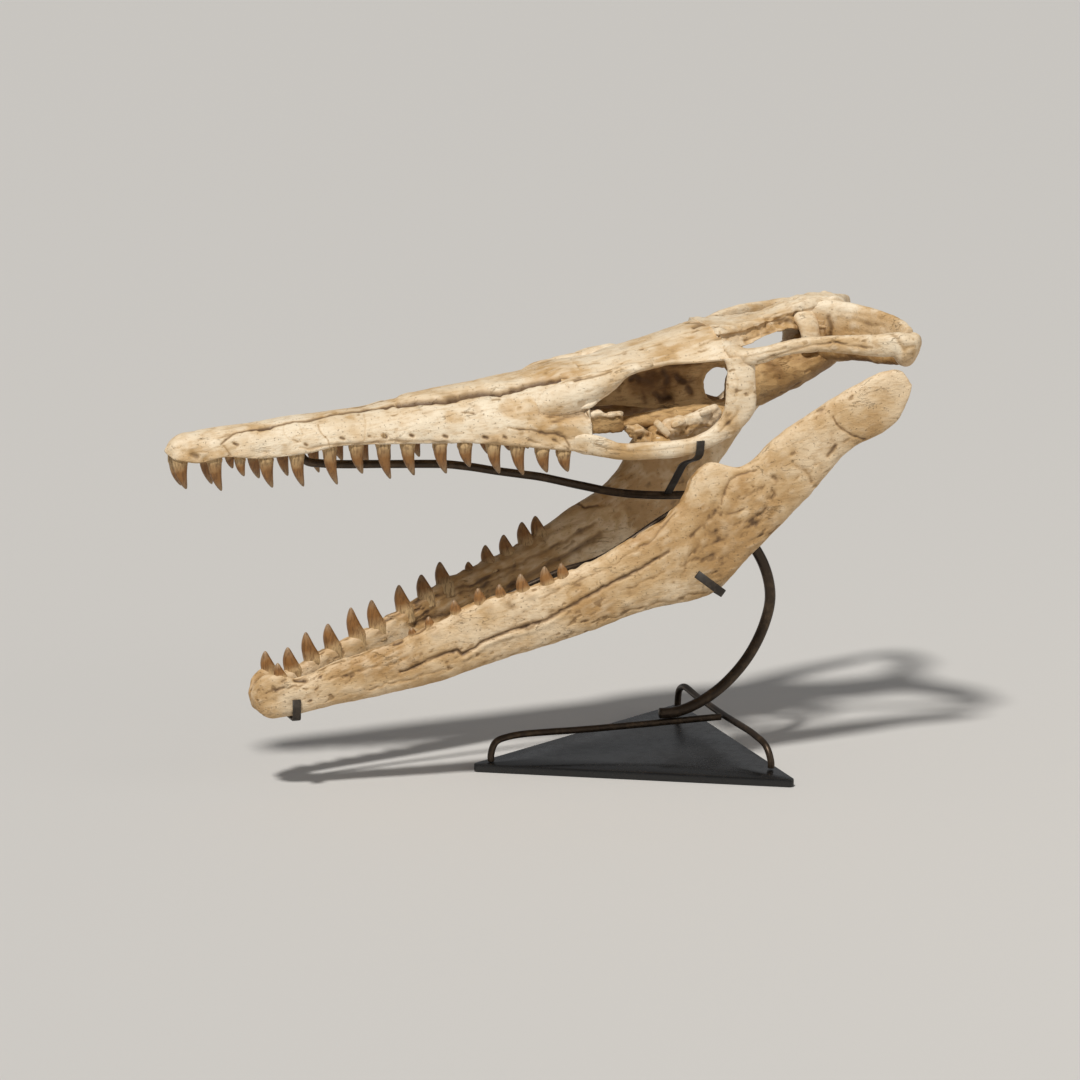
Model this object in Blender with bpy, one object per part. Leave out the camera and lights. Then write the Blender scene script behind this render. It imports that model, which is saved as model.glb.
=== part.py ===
"""Fossil skull of a small mosasaur on its museum mount, life size.

Metres, +Z up. The snout points along -X and the skull's mid-plane is y = 0. The origin is the
centre of the mount's triangular base, at the level of the floor. The upper skull is held level
over a lower jaw that hangs open. The bones are parted by thin cuts along their sutures, and
every part keeps a gap of 0.3 mm to its neighbours. Stations with a y are given for the right
side (+Y) and are mirrored for the left.
"""
import math

import bmesh
import bpy
import numpy as np
from mathutils import Vector

# Fit
GAP = 0.0003
SIDES = ((-1, "left"), (1, "right"))

# Bounds of the cuts, clear of the skull
UNDER_Z = 0.2
OVER_Z = 0.4
OUTER_Y = 0.13

# Upper skull: outline in the mid-plane and along the tooth row, as (x, z) and (x, half width)
TOP_LINE = [(-0.362, 0.2545), (-0.358, 0.259), (-0.351, 0.263), (-0.340, 0.265), (-0.307, 0.268),
            (-0.263, 0.271), (-0.219, 0.274), (-0.174, 0.2815), (-0.129, 0.287), (-0.095, 0.292),
            (-0.073, 0.298), (-0.038, 0.3015), (-0.016, 0.3065), (0.007, 0.313), (0.030, 0.319),
            (0.065, 0.3215), (0.088, 0.3255), (0.112, 0.3335), (0.123, 0.3355), (0.139, 0.334),
            (0.150, 0.330)]
LIP_LINE = [(-0.362, 0.250), (-0.358, 0.2475), (-0.340, 0.245), (-0.325, 0.248), (-0.297, 0.246),
            (-0.270, 0.248), (-0.241, 0.253), (-0.213, 0.2525), (-0.170, 0.2515), (-0.120, 0.248),
            (-0.094, 0.244), (-0.062, 0.240)]
SNOUT_HALF = [(-0.362, 0.004), (-0.358, 0.008), (-0.350, 0.012), (-0.335, 0.0155), (-0.300, 0.020),
              (-0.250, 0.026), (-0.200, 0.0315), (-0.150, 0.0375), (-0.100, 0.045), (-0.062, 0.050)]
ORBIT_FRONT_X = -0.062
NOSE_REAR_X = -0.320
PALATE_TOP_Z = 0.262
LIP_WIDTH = 0.011
VAULT_RISE = 0.006

# Roof over the orbits: half width and droop of the edge below the mid-line, by x
ROOF_HALF = [(-0.066, 0.034), (-0.045, 0.037), (-0.020, 0.038), (0.010, 0.040), (0.030, 0.045),
             (0.042, 0.049)]
ROOF_DROOP = [(-0.066, 0.013), (-0.045, 0.009), (-0.020, 0.0075), (0.010, 0.0085), (0.042, 0.0105)]
ROOF_THICK = 0.0068
ROOF_REAR_X = 0.042
PARIETAL_HALF = [(0.042, 0.030), (0.055, 0.024), (0.075, 0.017), (0.100, 0.0135), (0.150, 0.011)]
PARIETAL_DEPTH = [(0.042, 0.012), (0.058, 0.0156), (0.075, 0.0178), (0.100, 0.0180), (0.112, 0.0220),
                  (0.150, 0.0220)]
ARM_ROOM = 0.0045
ARM_ROOM_X = 0.130
WALL_HALF = 0.003
WALL_REAR_X = 0.056
WINDOW = (0.0520, 0.2730, 0.0115, 0.0130)
PALATINE_Y = (0.0370, 0.0415)
PARIETAL_XS = [ROOF_REAR_X + GAP, 0.052, 0.064, 0.082, 0.100, 0.118, 0.134, 0.148]

# Lower jaw, one side: edges as (x, z), distance of its outer face and thickness, by x
JAW_LOWER = [(-0.3025, 0.0690), (-0.299, 0.0605), (-0.292, 0.0555), (-0.280, 0.0560), (-0.250, 0.0625),
             (-0.201, 0.0715), (-0.177, 0.0765), (-0.145, 0.087), (-0.081, 0.106), (-0.017, 0.1265),
             (0.015, 0.132), (0.026, 0.137), (0.049, 0.161), (0.091, 0.206), (0.112, 0.2305),
             (0.123, 0.240), (0.144, 0.2505), (0.152, 0.258), (0.159, 0.272), (0.162, 0.282)]
JAW_UPPER = [(-0.3025, 0.0750), (-0.299, 0.0815), (-0.293, 0.0860), (-0.284, 0.0865), (-0.271, 0.084),
             (-0.243, 0.095), (-0.201, 0.109), (-0.145, 0.134), (-0.116, 0.142), (-0.081, 0.153),
             (-0.039, 0.175), (-0.016, 0.188), (0.001, 0.206), (0.009, 0.222), (0.021, 0.231),
             (0.039, 0.227), (0.048, 0.229), (0.067, 0.247), (0.089, 0.263), (0.145, 0.2945),
             (0.154, 0.294), (0.162, 0.286)]
JAW_OUT = [(-0.3025, 0.0050), (-0.299, 0.0092), (-0.292, 0.0135), (-0.282, 0.0173), (-0.266, 0.0212),
           (-0.200, 0.0340), (-0.100, 0.0530), (0.162, 0.1027)]
JAW_THICK = [(-0.3025, 0.0035), (-0.299, 0.0072), (-0.292, 0.0106), (-0.282, 0.0126), (-0.200, 0.014),
             (-0.060, 0.016), (0.020, 0.019), (0.080, 0.016), (0.120, 0.013), (0.162, 0.008)]
FAR_EDGE_LIFT = [(-0.3025, 0.0), (-0.140, 0.0), (-0.100, 0.0022), (-0.040, 0.0032), (0.004, 0.0),
                 (0.060, 0.0), (0.095, -0.0090), (0.140, -0.0080), (0.162, -0.0030)]
JAW_XS = [-0.3025, -0.299, -0.292, -0.282, -0.266, -0.243, -0.215, -0.180, -0.145, -0.110,
          -0.075, -0.040, -0.016, 0.000, 0.009, 0.021, 0.034, 0.048, 0.062, 0.078, 0.094,
          0.110, 0.124, 0.138, 0.148, 0.156, 0.162]

# Sutures: plans as (x, y) and side views as (x, z)
NARIS = [(-0.207, 0.0075), (-0.190, 0.0066), (-0.110, 0.0066), (-0.074, 0.0085),
         (-0.071, 0.0110), (-0.085, 0.0155), (-0.120, 0.0145), (-0.170, 0.0120)]
PALATE_PLAN = [(-0.316, 0.005), (-0.250, 0.011), (-0.150, 0.020), (-0.100, 0.027), (-0.050, 0.031)]
NOSE_PLAN = [(-0.113, 0.0062), (-0.200, 0.0063), (-0.262, 0.0080), (-0.297, 0.0085),
             (-0.3165, 0.0085), (-0.3225, 0.0230), (-0.370, 0.0230)]
FRONTAL_PLAN = [(-0.1127, 0.0064), (-0.080, 0.0068), (-0.070, 0.0150), (-0.052, 0.0270),
                (-0.030, 0.0325), (-0.012, 0.0350), (-0.006, 0.0600), (0.060, 0.0600)]
FRONTAL_LOW_Z = 0.268
PREFRONTAL_SIDE = [(-0.112, 0.292), (-0.097, 0.275), (-0.080, 0.270), (-0.030, 0.262), (0.010, 0.262),
                   (0.010, 0.360), (-0.060, 0.360)]
ARTICULAR_SIDE = [(0.1035, 0.300), (0.1075, 0.262), (0.1200, 0.255), (0.1330, 0.235), (0.200, 0.235),
                  (0.200, 0.300)]
CORONOID_SIDE = [(-0.030, 0.2000), (-0.010, 0.1860), (0.012, 0.2080), (0.030, 0.2180), (0.0560, 0.2200),
                 (0.0560, 0.2600), (-0.030, 0.2600)]
REAR_JAW_SIDE = [(-0.0250, 0.200), (-0.0330, 0.163), (-0.0560, 0.140), (-0.0480, 0.100), (0.150, 0.100),
                 (0.150, 0.300), (-0.0250, 0.300)]
PALATINE_SIDE = [(-0.0617, 0.2530), (-0.0345, 0.2510), (-0.0335, 0.2640), (-0.0400, 0.2665),
                 (-0.0480, 0.2650), (-0.0530, 0.2675), (-0.0617, 0.2655)]

# Swept bones: stations of (x, y, z, half across, half tall)
BROW = [(-0.074, 0.0350, 0.2780, 0.009, 0.0130), (-0.056, 0.0360, 0.2845, 0.008, 0.0095),
        (-0.036, 0.0360, 0.2915, 0.006, 0.0055), (-0.012, 0.0365, 0.2975, 0.004, 0.0030)]
REAR_ARM = [(0.126, 0.0045, 0.3240, 0.0060, 0.0080), (0.142, 0.0160, 0.3200, 0.0055, 0.0110),
            (0.158, 0.0320, 0.3160, 0.0050, 0.0120), (0.169, 0.0480, 0.3125, 0.0045, 0.0112),
            (0.1735, 0.0640, 0.3090, 0.0040, 0.0090)]
BRAINCASE = [(0.0560, 0, 0.2790, 0.0090, 0.0240), (0.0650, 0, 0.2765, 0.0130, 0.0215),
             (0.0800, 0, 0.2760, 0.0180, 0.0200), (0.0950, 0, 0.2795, 0.0205, 0.0175),
             (0.1100, 0, 0.2850, 0.0215, 0.0150), (0.1250, 0, 0.2915, 0.0205, 0.0130),
             (0.1340, 0, 0.2950, 0.0180, 0.0120), (0.1430, 0, 0.2955, 0.0120, 0.0105),
             (0.1530, 0, 0.2940, 0.0100, 0.0090), (0.1580, 0, 0.2930, 0.0060, 0.0060)]
FRONT_PILLAR = [(0.0610, 0, 0.2850, 0.0090, 0.0040), (0.0608, 0, 0.2960, 0.0085, 0.0040),
                (0.0605, 0, 0.3200, 0.0100, 0.0042)]
REAR_PILLAR = [(0.1270, 0, 0.2900, 0.0160, 0.0080), (0.1270, 0, 0.3030, 0.0145, 0.0075),
               (0.1270, 0, 0.3250, 0.0150, 0.0080)]
WING = [(0.120, 0.008, 0.297, 0.007, 0.008), (0.140, 0.026, 0.297, 0.006, 0.0065),
        (0.156, 0.045, 0.296, 0.006, 0.005), (0.1665, 0.066, 0.296, 0.005, 0.004)]
POSTORBITAL = [(0.0475, 0.0345, 0.3065, 0.0045, 0.0048), (0.0490, 0.0430, 0.3050, 0.0060, 0.0055),
               (0.0530, 0.0520, 0.3028, 0.0070, 0.0062), (0.0640, 0.0590, 0.3050, 0.0045, 0.0055),
               (0.0763, 0.0640, 0.3092, 0.0038, 0.0052), (0.0943, 0.0690, 0.3120, 0.0038, 0.0056),
               (0.1000, 0.0710, 0.3124, 0.0038, 0.0056)]
SQUAMOSAL = [(0.1008, 0.0713, 0.3124, 0.0038, 0.0056), (0.1110, 0.0742, 0.3125, 0.0039, 0.0060),
             (0.1200, 0.0765, 0.3120, 0.0040, 0.0066), (0.1320, 0.0800, 0.3114, 0.0043, 0.0074),
             (0.1450, 0.0832, 0.3112, 0.0048, 0.0080), (0.1560, 0.0855, 0.3112, 0.0055, 0.0088),
             (0.1655, 0.0845, 0.3070, 0.0062, 0.0125), (0.1710, 0.0770, 0.3065, 0.0060, 0.0115),
             (0.1735, 0.0672, 0.3095, 0.0045, 0.0075)]
JUGAL = [(-0.0680, 0.0465, 0.2468, 0.0035, 0.0074), (-0.0560, 0.0490, 0.2440, 0.0036, 0.0070),
         (-0.0414, 0.0515, 0.2400, 0.0036, 0.0060), (-0.0187, 0.0537, 0.2395, 0.0038, 0.0062),
         (0.0000, 0.0556, 0.2402, 0.0040, 0.0063), (0.0113, 0.0567, 0.2415, 0.0041, 0.0062),
         (0.0273, 0.0577, 0.2478, 0.0043, 0.0062), (0.0390, 0.0582, 0.2562, 0.0045, 0.0082),
         (0.0470, 0.0585, 0.2690, 0.0045, 0.0116), (0.0480, 0.0575, 0.2830, 0.0043, 0.0118),
         (0.0490, 0.0545, 0.2955, 0.0040, 0.0090)]
PTERYGOID = [(-0.0605, 0.0200, 0.2520, 0.0100, 0.0040), (-0.0400, 0.0220, 0.2535, 0.0100, 0.0045),
             (-0.0100, 0.0240, 0.2560, 0.0085, 0.0055), (0.0250, 0.0250, 0.2600, 0.0070, 0.0065),
             (0.0500, 0.0265, 0.2615, 0.0060, 0.0060), (0.0660, 0.0300, 0.2600, 0.0035, 0.0045)]
RIDGE = [(-0.026, 0.0360, 0.2470, 0.0040, 0.0050), (-0.012, 0.0370, 0.2485, 0.0045, 0.0068),
         (0.002, 0.0370, 0.2485, 0.0040, 0.0050), (0.016, 0.0375, 0.2550, 0.0050, 0.0075),
         (0.030, 0.0370, 0.2600, 0.0045, 0.0065), (0.040, 0.0350, 0.2640, 0.0030, 0.0040)]
STRUT = [(-0.006, 0.0240, 0.2540, 0.0070, 0.0035), (-0.007, 0.0380, 0.2460, 0.0065, 0.0035),
         (-0.008, 0.0480, 0.2402, 0.0070, 0.0036)]

# Teeth: crown lengths from front to back, in metres
TOOTH_RADIUS = 0.0042
LOWER_TOOTH_RADIUS = 0.0050
LOWER_LEAN = 0.22
TOOTH_ROOT = 0.004
TOOTH_SIDES = 6
UPPER_TIPS_X = [-0.349, -0.325, -0.309, -0.289, -0.267, -0.243, -0.225, -0.205, -0.188, -0.165,
                -0.148, -0.127, -0.110, -0.093, -0.078]
UPPER_LENGTHS = [0.021, 0.024, 0.014, 0.022, 0.024, 0.028, 0.022, 0.026, 0.024, 0.023,
                 0.018, 0.022, 0.022, 0.018, 0.016]
NEAR_LOWER_X = [-0.285, -0.191, -0.179, -0.161, -0.144, -0.129, -0.114, -0.097, -0.085]
NEAR_LOWER_LENGTHS = [0.010, 0.006, 0.008, 0.011, 0.012, 0.010, 0.013, 0.013, 0.011]
FAR_LOWER_X = [-0.288, -0.270, -0.2555, -0.238, -0.2195, -0.203, -0.181, -0.163, -0.148, -0.125,
               -0.111, -0.096, -0.081, -0.070]
FAR_LOWER_LENGTHS = [0.014, 0.017, 0.021, 0.018, 0.022, 0.020, 0.019, 0.016, 0.017, 0.007,
                     0.013, 0.014, 0.016, 0.014]

# Mount
BASE_SIDE = 0.238
BASE_THICK = 0.006
BASE_CORNER = 0.003
LONG_ROD_RADIUS = 0.0025
MAIN_ROD_RADIUS = 0.004
UPPER_ROD_RADIUS = 0.003
JAW_ROD_RADIUS = 0.0025
STRAP_WIDTH = 0.006
STRAP_THICK = 0.0014
ROD_SIDES = 8
ROD_FOOT_Z = BASE_THICK + 2 * GAP
LONG_ROD = [(-0.1215, 0, ROD_FOOT_Z), (-0.1215, 0, 0.0120), (-0.1180, 0, 0.0205), (-0.1080, 0, 0.0240),
            (-0.0400, 0, 0.0243), (0.0200, 0, 0.0247), (0.0570, 0, 0.0250)]
CROSS_ROD = [(0.0630, -0.0840, ROD_FOOT_Z), (0.0630, -0.0840, 0.0110), (0.0620, -0.0780, 0.0205),
             (0.0605, -0.0580, 0.0250), (0.0600, 0, 0.0252), (0.0600, 0.0600, 0.0262),
             (0.0600, 0.0860, 0.0270), (0.0600, 0.0960, 0.0220), (0.0600, 0.0990, 0.0120),
             (0.0600, 0.0990, ROD_FOOT_Z)]
MAIN_ROD = [(0.0080, 0, 0.0315), (0.0200, 0, 0.0315), (0.0340, 0, 0.0350), (0.0560, 0, 0.0470),
            (0.0770, 0, 0.0680), (0.0900, 0, 0.0920), (0.0945, 0, 0.1130), (0.0900, 0, 0.1350),
            (0.0770, 0, 0.1570), (0.0570, 0, 0.1765), (0.0380, 0, 0.1885)]
UPPER_ROD = [(0.0325, 0, 0.1935), (0.0080, 0, 0.1945), (-0.0230, 0, 0.1985), (-0.0530, 0, 0.2060),
             (-0.0840, 0, 0.2145), (-0.1145, 0, 0.2205), (-0.1510, 0, 0.2280), (-0.2000, 0, 0.2318),
             (-0.2460, 0, 0.2352), (-0.2590, 0, 0.2380), (-0.2640, 0, 0.2450), (-0.2645, 0, 0.2530)]
JAW_ROD = [(0.0270, 0, 0.1860), (0.0080, 0, 0.1760), (-0.0230, 0, 0.1580), (-0.0400, 0, 0.1500),
           (-0.0700, 0, 0.1430), (-0.1500, 0, 0.1120), (-0.2400, 0, 0.0760), (-0.2760, 0, 0.0600)]
JAW_POST = [(0.0265, 0, 0.1405), (0.0265, 0, 0.1610), (0.0265, 0, 0.1810)]
FRONT_CLIP_X = -0.2740
FRONT_CLIP_HALF = 0.0208
FRONT_CLIP_Z = (0.0550, 0.0700)
REAR_CLIP_X = (0.0275, 0.0070)
REAR_CLIP_HALF = 0.0790
REAR_CLIP_Z = (0.1370, 0.1530)
REAR_CLIP_SLANT = (0.62, 0, 0.78)
CHEEK_CLIP = [(0.0120, -0.0045, 0.1975), (0.0098, -0.0280, 0.2127), (0.0090, -0.0460, 0.2275),
              (0.0150, -0.0622, 0.2335), (0.0155, -0.0624, 0.2460)]

# Colours: base colour, roughness, metallic
BONE = ((0.79, 0.70, 0.55), 0.62, 0.0)
JAW_BONE = ((0.74, 0.63, 0.46), 0.62, 0.0)
BLACK_BASE = ((0.015, 0.015, 0.017), 0.3, 0.0)
BRONZE_ROD = ((0.10, 0.065, 0.035), 0.42, 0.8)


def curve_through(stations, count):
    """Return count rows on a smooth curve through the stations (centripetal Catmull-Rom)."""
    rows = np.array(stations, float)
    steps = np.sqrt(np.linalg.norm(np.diff(rows, axis=0), axis=1))
    knots = np.concatenate([[0.0], np.cumsum(steps)])
    slopes = np.gradient(rows, knots, axis=0)
    at = np.linspace(0.0, knots[-1], count)
    seg = np.clip(np.searchsorted(knots, at, side="right") - 1, 0, len(knots) - 2)
    span = (knots[seg + 1] - knots[seg])[:, None]
    t = ((at - knots[seg]) / span[:, 0])[:, None]
    return ((2 * t**3 - 3 * t**2 + 1) * rows[seg] + (t**3 - 2 * t**2 + t) * span * slopes[seg]
            + (3 * t**2 - 2 * t**3) * rows[seg + 1] + (t**3 - t**2) * span * slopes[seg + 1])


def profile(stations):
    """Return a function of x that follows the smooth curve through (x, value) stations."""
    rows = curve_through(stations, 8 * len(stations))
    order = np.argsort(rows[:, 0])
    return lambda x: float(np.interp(x, rows[order, 0], rows[order, 1]))


top_z = profile(TOP_LINE)
lip_z = profile(LIP_LINE)
snout_half = profile(SNOUT_HALF)
roof_half = profile(ROOF_HALF)
roof_droop = profile(ROOF_DROOP)
parietal_half = profile(PARIETAL_HALF)
parietal_depth = profile(PARIETAL_DEPTH)
jaw_low = profile(JAW_LOWER)
jaw_high = profile(JAW_UPPER)
jaw_thick = profile(JAW_THICK)
jaw_out = profile(JAW_OUT)
far_edge_lift = profile(FAR_EDGE_LIFT)


def clear_scene():
    for item in list(bpy.data.objects):
        bpy.data.objects.remove(item, do_unlink=True)


def mirrored(stations, s):
    """Stations of one side, their y turned by the sign s."""
    return [(station[0], s * station[1], *station[2:]) for station in stations]


def side_span(s, inner):
    """Low and high y of a cut on one side of the mid-plane."""
    return sorted((s * inner, s * OUTER_Y))


def both_sides(plan):
    """Close a half plan of (x, y) points with its mirror image."""
    return [(x, -y) for x, y in plan] + list(reversed(plan))


def finish_material(item, look):
    colour, roughness, metallic = look
    material = bpy.data.materials.new(item.name)
    material.use_nodes = True
    shader = material.node_tree.nodes["Principled BSDF"]
    shader.inputs["Base Color"].default_value = (*colour, 1.0)
    shader.inputs["Roughness"].default_value = roughness
    shader.inputs["Metallic"].default_value = metallic
    item.data.materials.clear()
    item.data.materials.append(material)


def object_from(bm, name):
    """Turn a bmesh into an object with its faces pointing out."""
    bmesh.ops.triangulate(bm, faces=bm.faces)
    bmesh.ops.recalc_face_normals(bm, faces=bm.faces)
    mesh = bpy.data.meshes.new(name)
    bm.to_mesh(mesh)
    bm.free()
    item = bpy.data.objects.new(name, mesh)
    bpy.context.scene.collection.objects.link(item)
    return item


def loft(name, rings):
    """Join rings of points into one closed body, each end closed by a face."""
    bm = bmesh.new()
    loops = [[bm.verts.new(point) for point in ring] for ring in rings]
    count = len(loops[0])
    for here, there in zip(loops, loops[1:]):
        for k in range(count):
            n = (k + 1) % count
            bm.faces.new((here[k], here[n], there[n], there[k]))
    bm.faces.new(loops[0])
    bm.faces.new(loops[-1])
    return object_from(bm, name)


def frames_along(points, up):
    """Return (point, side, upward) at each point of a path, turning as little as it can."""
    frames = []
    for k, point in enumerate(points):
        ahead = points[min(k + 1, len(points) - 1)] - points[max(k - 1, 0)]
        ahead = ahead.normalized()
        side = up.cross(ahead)
        side = side.normalized() if side.length > 1e-6 else frames[-1][1]
        upward = ahead.cross(side).normalized()
        frames.append((point, side, upward))
        up = upward
    return frames


def bar(name, stations, sides=10, rings=10, up=(0, 0, 1)):
    """Sweep an oval along stations of (x, y, z, half across, half tall)."""
    rows = curve_through(stations, rings)
    frames = frames_along([Vector(row[:3]) for row in rows], Vector(up))
    loops = []
    for row, (point, side, upward) in zip(rows, frames):
        angles = [2 * math.pi * k / sides for k in range(sides)]
        loops.append([point + side * row[3] * math.cos(a) + upward * row[4] * math.sin(a)
                      for a in angles])
    return loft(name, loops)


def rod(name, stations, radius, rings=12, sides=ROD_SIDES, up=(0, 1, 0)):
    """Sweep a round rod along (x, y, z) stations."""
    rows = [(*station, radius, radius) for station in stations]
    return bar(name, rows, sides=sides, rings=rings, up=up)


def strap(name, points, across, width=STRAP_WIDTH, thick=STRAP_THICK):
    """Bend a flat strap through points, its width along the direction across."""
    path = [Vector(point) for point in points]
    across = Vector(across).normalized()
    loops = []
    for k, point in enumerate(path):
        into = (point - path[max(k - 1, 0)]).normalized()
        out = (path[min(k + 1, len(path) - 1)] - point).normalized()
        ahead = (into + out).normalized()
        lift = ahead.cross(across).normalized()
        turn = into if into.length > 0.5 else out
        lift = lift / max(0.5, abs(lift.cross(turn).length))
        loops.append([point + across * sx * width / 2 + lift * sz * thick / 2
                      for sx, sz in ((-1, -1), (1, -1), (1, 1), (-1, 1))])
    return loft(name, loops)


def prism(name, outline, low, high, axis="z"):
    """Extrude a flat outline; (x, y) points rise along z, (x, z) points run along y."""
    bm = bmesh.new()
    if axis == "z":
        near = [bm.verts.new((u, v, low)) for u, v in outline]
        far = [bm.verts.new((u, v, high)) for u, v in outline]
    else:
        near = [bm.verts.new((u, low, v)) for u, v in outline]
        far = [bm.verts.new((u, high, v)) for u, v in outline]
    count = len(outline)
    for k in range(count):
        n = (k + 1) % count
        bm.faces.new((near[k], near[n], far[n], far[k]))
    bm.faces.new(near)
    bm.faces.new(far)
    return object_from(bm, name)


def widened(outline, by):
    """Move every point of a flat outline outwards by the same distance."""
    points = [Vector(p) for p in outline]
    count = len(points)
    area = sum(a.x * b.y - b.x * a.y for a, b in zip(points, points[1:] + points[:1]))
    turn = 1.0 if area > 0 else -1.0
    grown = []
    for k, point in enumerate(points):
        into = (point - points[k - 1]).normalized()
        out = (points[(k + 1) % count] - point).normalized()
        normal_in = Vector((into.y, -into.x)) * turn
        normal_out = Vector((out.y, -out.x)) * turn
        middle = (normal_in + normal_out).normalized()
        grown.append(tuple(point + middle * by / max(0.3, middle.dot(normal_in))))
    return grown


def apply_boolean(item, others, operation):
    """Apply one Boolean between an object and a list of closed objects."""
    group = bpy.data.collections.new("operands")
    bpy.context.scene.collection.children.link(group)
    for other in others:
        group.objects.link(other)
    modifier = item.modifiers.new("join", "BOOLEAN")
    modifier.operand_type = "COLLECTION"
    modifier.collection = group
    modifier.operation = operation
    modifier.solver = "EXACT"
    bpy.context.view_layer.update()
    graph = bpy.context.evaluated_depsgraph_get()
    mesh = bpy.data.meshes.new_from_object(item.evaluated_get(graph))
    item.modifiers.clear()
    item.data = mesh
    bpy.data.collections.remove(group)
    return item


def discard(items):
    for item in items:
        bpy.data.objects.remove(item, do_unlink=True)


def keep_largest(item):
    """Keep only the largest closed surface, which drops scraps and sealed hollows."""
    bm = bmesh.new()
    bm.from_mesh(item.data)
    bmesh.ops.triangulate(bm, faces=bm.faces)
    bmesh.ops.remove_doubles(bm, verts=bm.verts, dist=0.000002)
    left = set(bm.faces)
    shells = []
    while left:
        queue = [left.pop()]
        shell = [queue[0]]
        while queue:
            for edge in queue.pop().edges:
                for face in edge.link_faces:
                    if face in left:
                        left.remove(face)
                        shell.append(face)
                        queue.append(face)
        shells.append(shell)
    shells.sort(key=lambda shell: sum(face.calc_area() for face in shell))
    drop = [face for shell in shells[:-1] for face in shell]
    bmesh.ops.delete(bm, geom=drop, context="FACES")
    loose = [vert for vert in bm.verts if not vert.link_faces]
    bmesh.ops.delete(bm, geom=loose, context="VERTS")
    bm.to_mesh(item.data)
    bm.free()
    return item


def fuse(body, pieces):
    """Join closed pieces to a body in one union and drop the pieces."""
    apply_boolean(body, pieces, "UNION")
    discard(pieces)
    return keep_largest(body)


def copy_of(item, name):
    twin = bpy.data.objects.new(name, item.data.copy())
    bpy.context.scene.collection.objects.link(twin)
    return twin


def take(whole, name, outline, low, high, axis="z"):
    """Part one bone from the whole: the part inside a prism leaves, and a thin cut stays open."""
    region = prism("region", outline, low, high, axis)
    bone = keep_largest(apply_boolean(copy_of(whole, name), [region], "INTERSECT"))
    opened = prism("opened", widened(outline, GAP), low - GAP, high + GAP, axis)
    apply_boolean(whole, [opened], "DIFFERENCE")
    discard([region, opened])
    return bone


def cut(item, outline, low, high, axis="z"):
    """Remove a prism from an object."""
    cutter = prism("cutter", outline, low, high, axis)
    apply_boolean(item, [cutter], "DIFFERENCE")
    discard([cutter])
    return keep_largest(item)


def tooth(base, tip, radius, lean_back=0.25):
    """A pointed crown that curves back, its root sunk below its base."""
    base = Vector(base)
    tip = Vector(tip)
    axis = (tip - base).normalized()
    length = (tip - base).length
    back = Vector((1, 0, 0))
    shares = (-TOOTH_ROOT / length, 0.30, 0.72)
    radii = (radius, 0.86 * radius, 0.46 * radius)
    side = axis.cross(Vector((0, 1, 0))).normalized()
    other = axis.cross(side).normalized()
    bm = bmesh.new()
    loops = []
    for share, wide in zip(shares, radii):
        bow = -lean_back * length * 0.5 * math.sin(math.pi * max(0.0, share))
        centre = base + axis * length * share + back * bow
        loops.append([bm.verts.new(centre + side * wide * math.cos(a) + other * wide * math.sin(a))
                      for a in [2 * math.pi * k / TOOTH_SIDES for k in range(TOOTH_SIDES)]])
    point = bm.verts.new(tip)
    for here, there in zip(loops, loops[1:]):
        for k in range(TOOTH_SIDES):
            n = (k + 1) % TOOTH_SIDES
            bm.faces.new((here[k], here[n], there[n], there[k]))
    for k in range(TOOTH_SIDES):
        bm.faces.new((loops[-1][k], loops[-1][(k + 1) % TOOTH_SIDES], point))
    bm.faces.new(loops[0])
    return object_from(bm, "tooth")


def upper_teeth(side, low_x, high_x):
    """Crowns of one upper tooth row whose bases lie between two x."""
    teeth = []
    for tip_x, length in zip(UPPER_TIPS_X, UPPER_LENGTHS):
        base_x = tip_x - 0.18 * length
        if low_x < base_x < high_x:
            y = side * (snout_half(base_x) - 0.0052)
            z = lip_z(base_x)
            teeth.append(tooth((base_x, y, z), (tip_x, y + side * 0.001, z - length),
                               TOOTH_RADIUS if length > 0.015 else 0.0032))
    return teeth


def lower_teeth(side, tips, lengths):
    """Stout crowns of one lower tooth row, leaning forward with the jaw's upper edge."""
    teeth = []
    for tip_x, length in zip(tips, lengths):
        base_x = tip_x + LOWER_LEAN * length
        y = side * (jaw_out(base_x) - jaw_thick(base_x) * 0.5)
        z = jaw_high(base_x) - 0.001
        radius = min(LOWER_TOOTH_RADIUS, 0.22 * length + 0.0015)
        teeth.append(tooth((base_x, y, z), (tip_x, y, jaw_high(tip_x) - 0.001 + length), radius,
                           lean_back=0.12))
    return teeth


def snout_ring(x, arch=12):
    """Section of the snout: a dome from lip to lip over a shallow vaulted palate."""
    top, lip, half = top_z(x), lip_z(x), snout_half(x)
    ring = []
    for k in range(arch + 1):
        angle = math.pi * k / arch
        ring.append((x, -half * math.cos(angle), lip + (top - lip) * math.sin(angle) ** 0.85))
    inner = half - min(LIP_WIDTH, 0.45 * half)
    rise = min(VAULT_RISE, 0.25 * (top - lip))
    ring.append((x, inner, lip + 0.001))
    ring.append((x, 0.6 * inner, lip + rise))
    ring.append((x, -0.6 * inner, lip + rise))
    ring.append((x, -inner, lip + 0.001))
    return ring


def roof_ring(x, arch=8):
    """Section of the skull roof: a low dome with a rounded edge."""
    top, half, droop = top_z(x), roof_half(x), roof_droop(x)
    ring = []
    for k in range(arch + 1):
        share = -1.0 + 2.0 * k / arch
        ring.append((x, share * half, top - droop * abs(share) ** 2.2))
    for k in range(arch, -1, -1):
        share = (-1.0 + 2.0 * k / arch) * 0.96
        ring.append((x, share * half, top - droop * abs(share) ** 2.2 - ROOF_THICK))
    return ring


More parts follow.
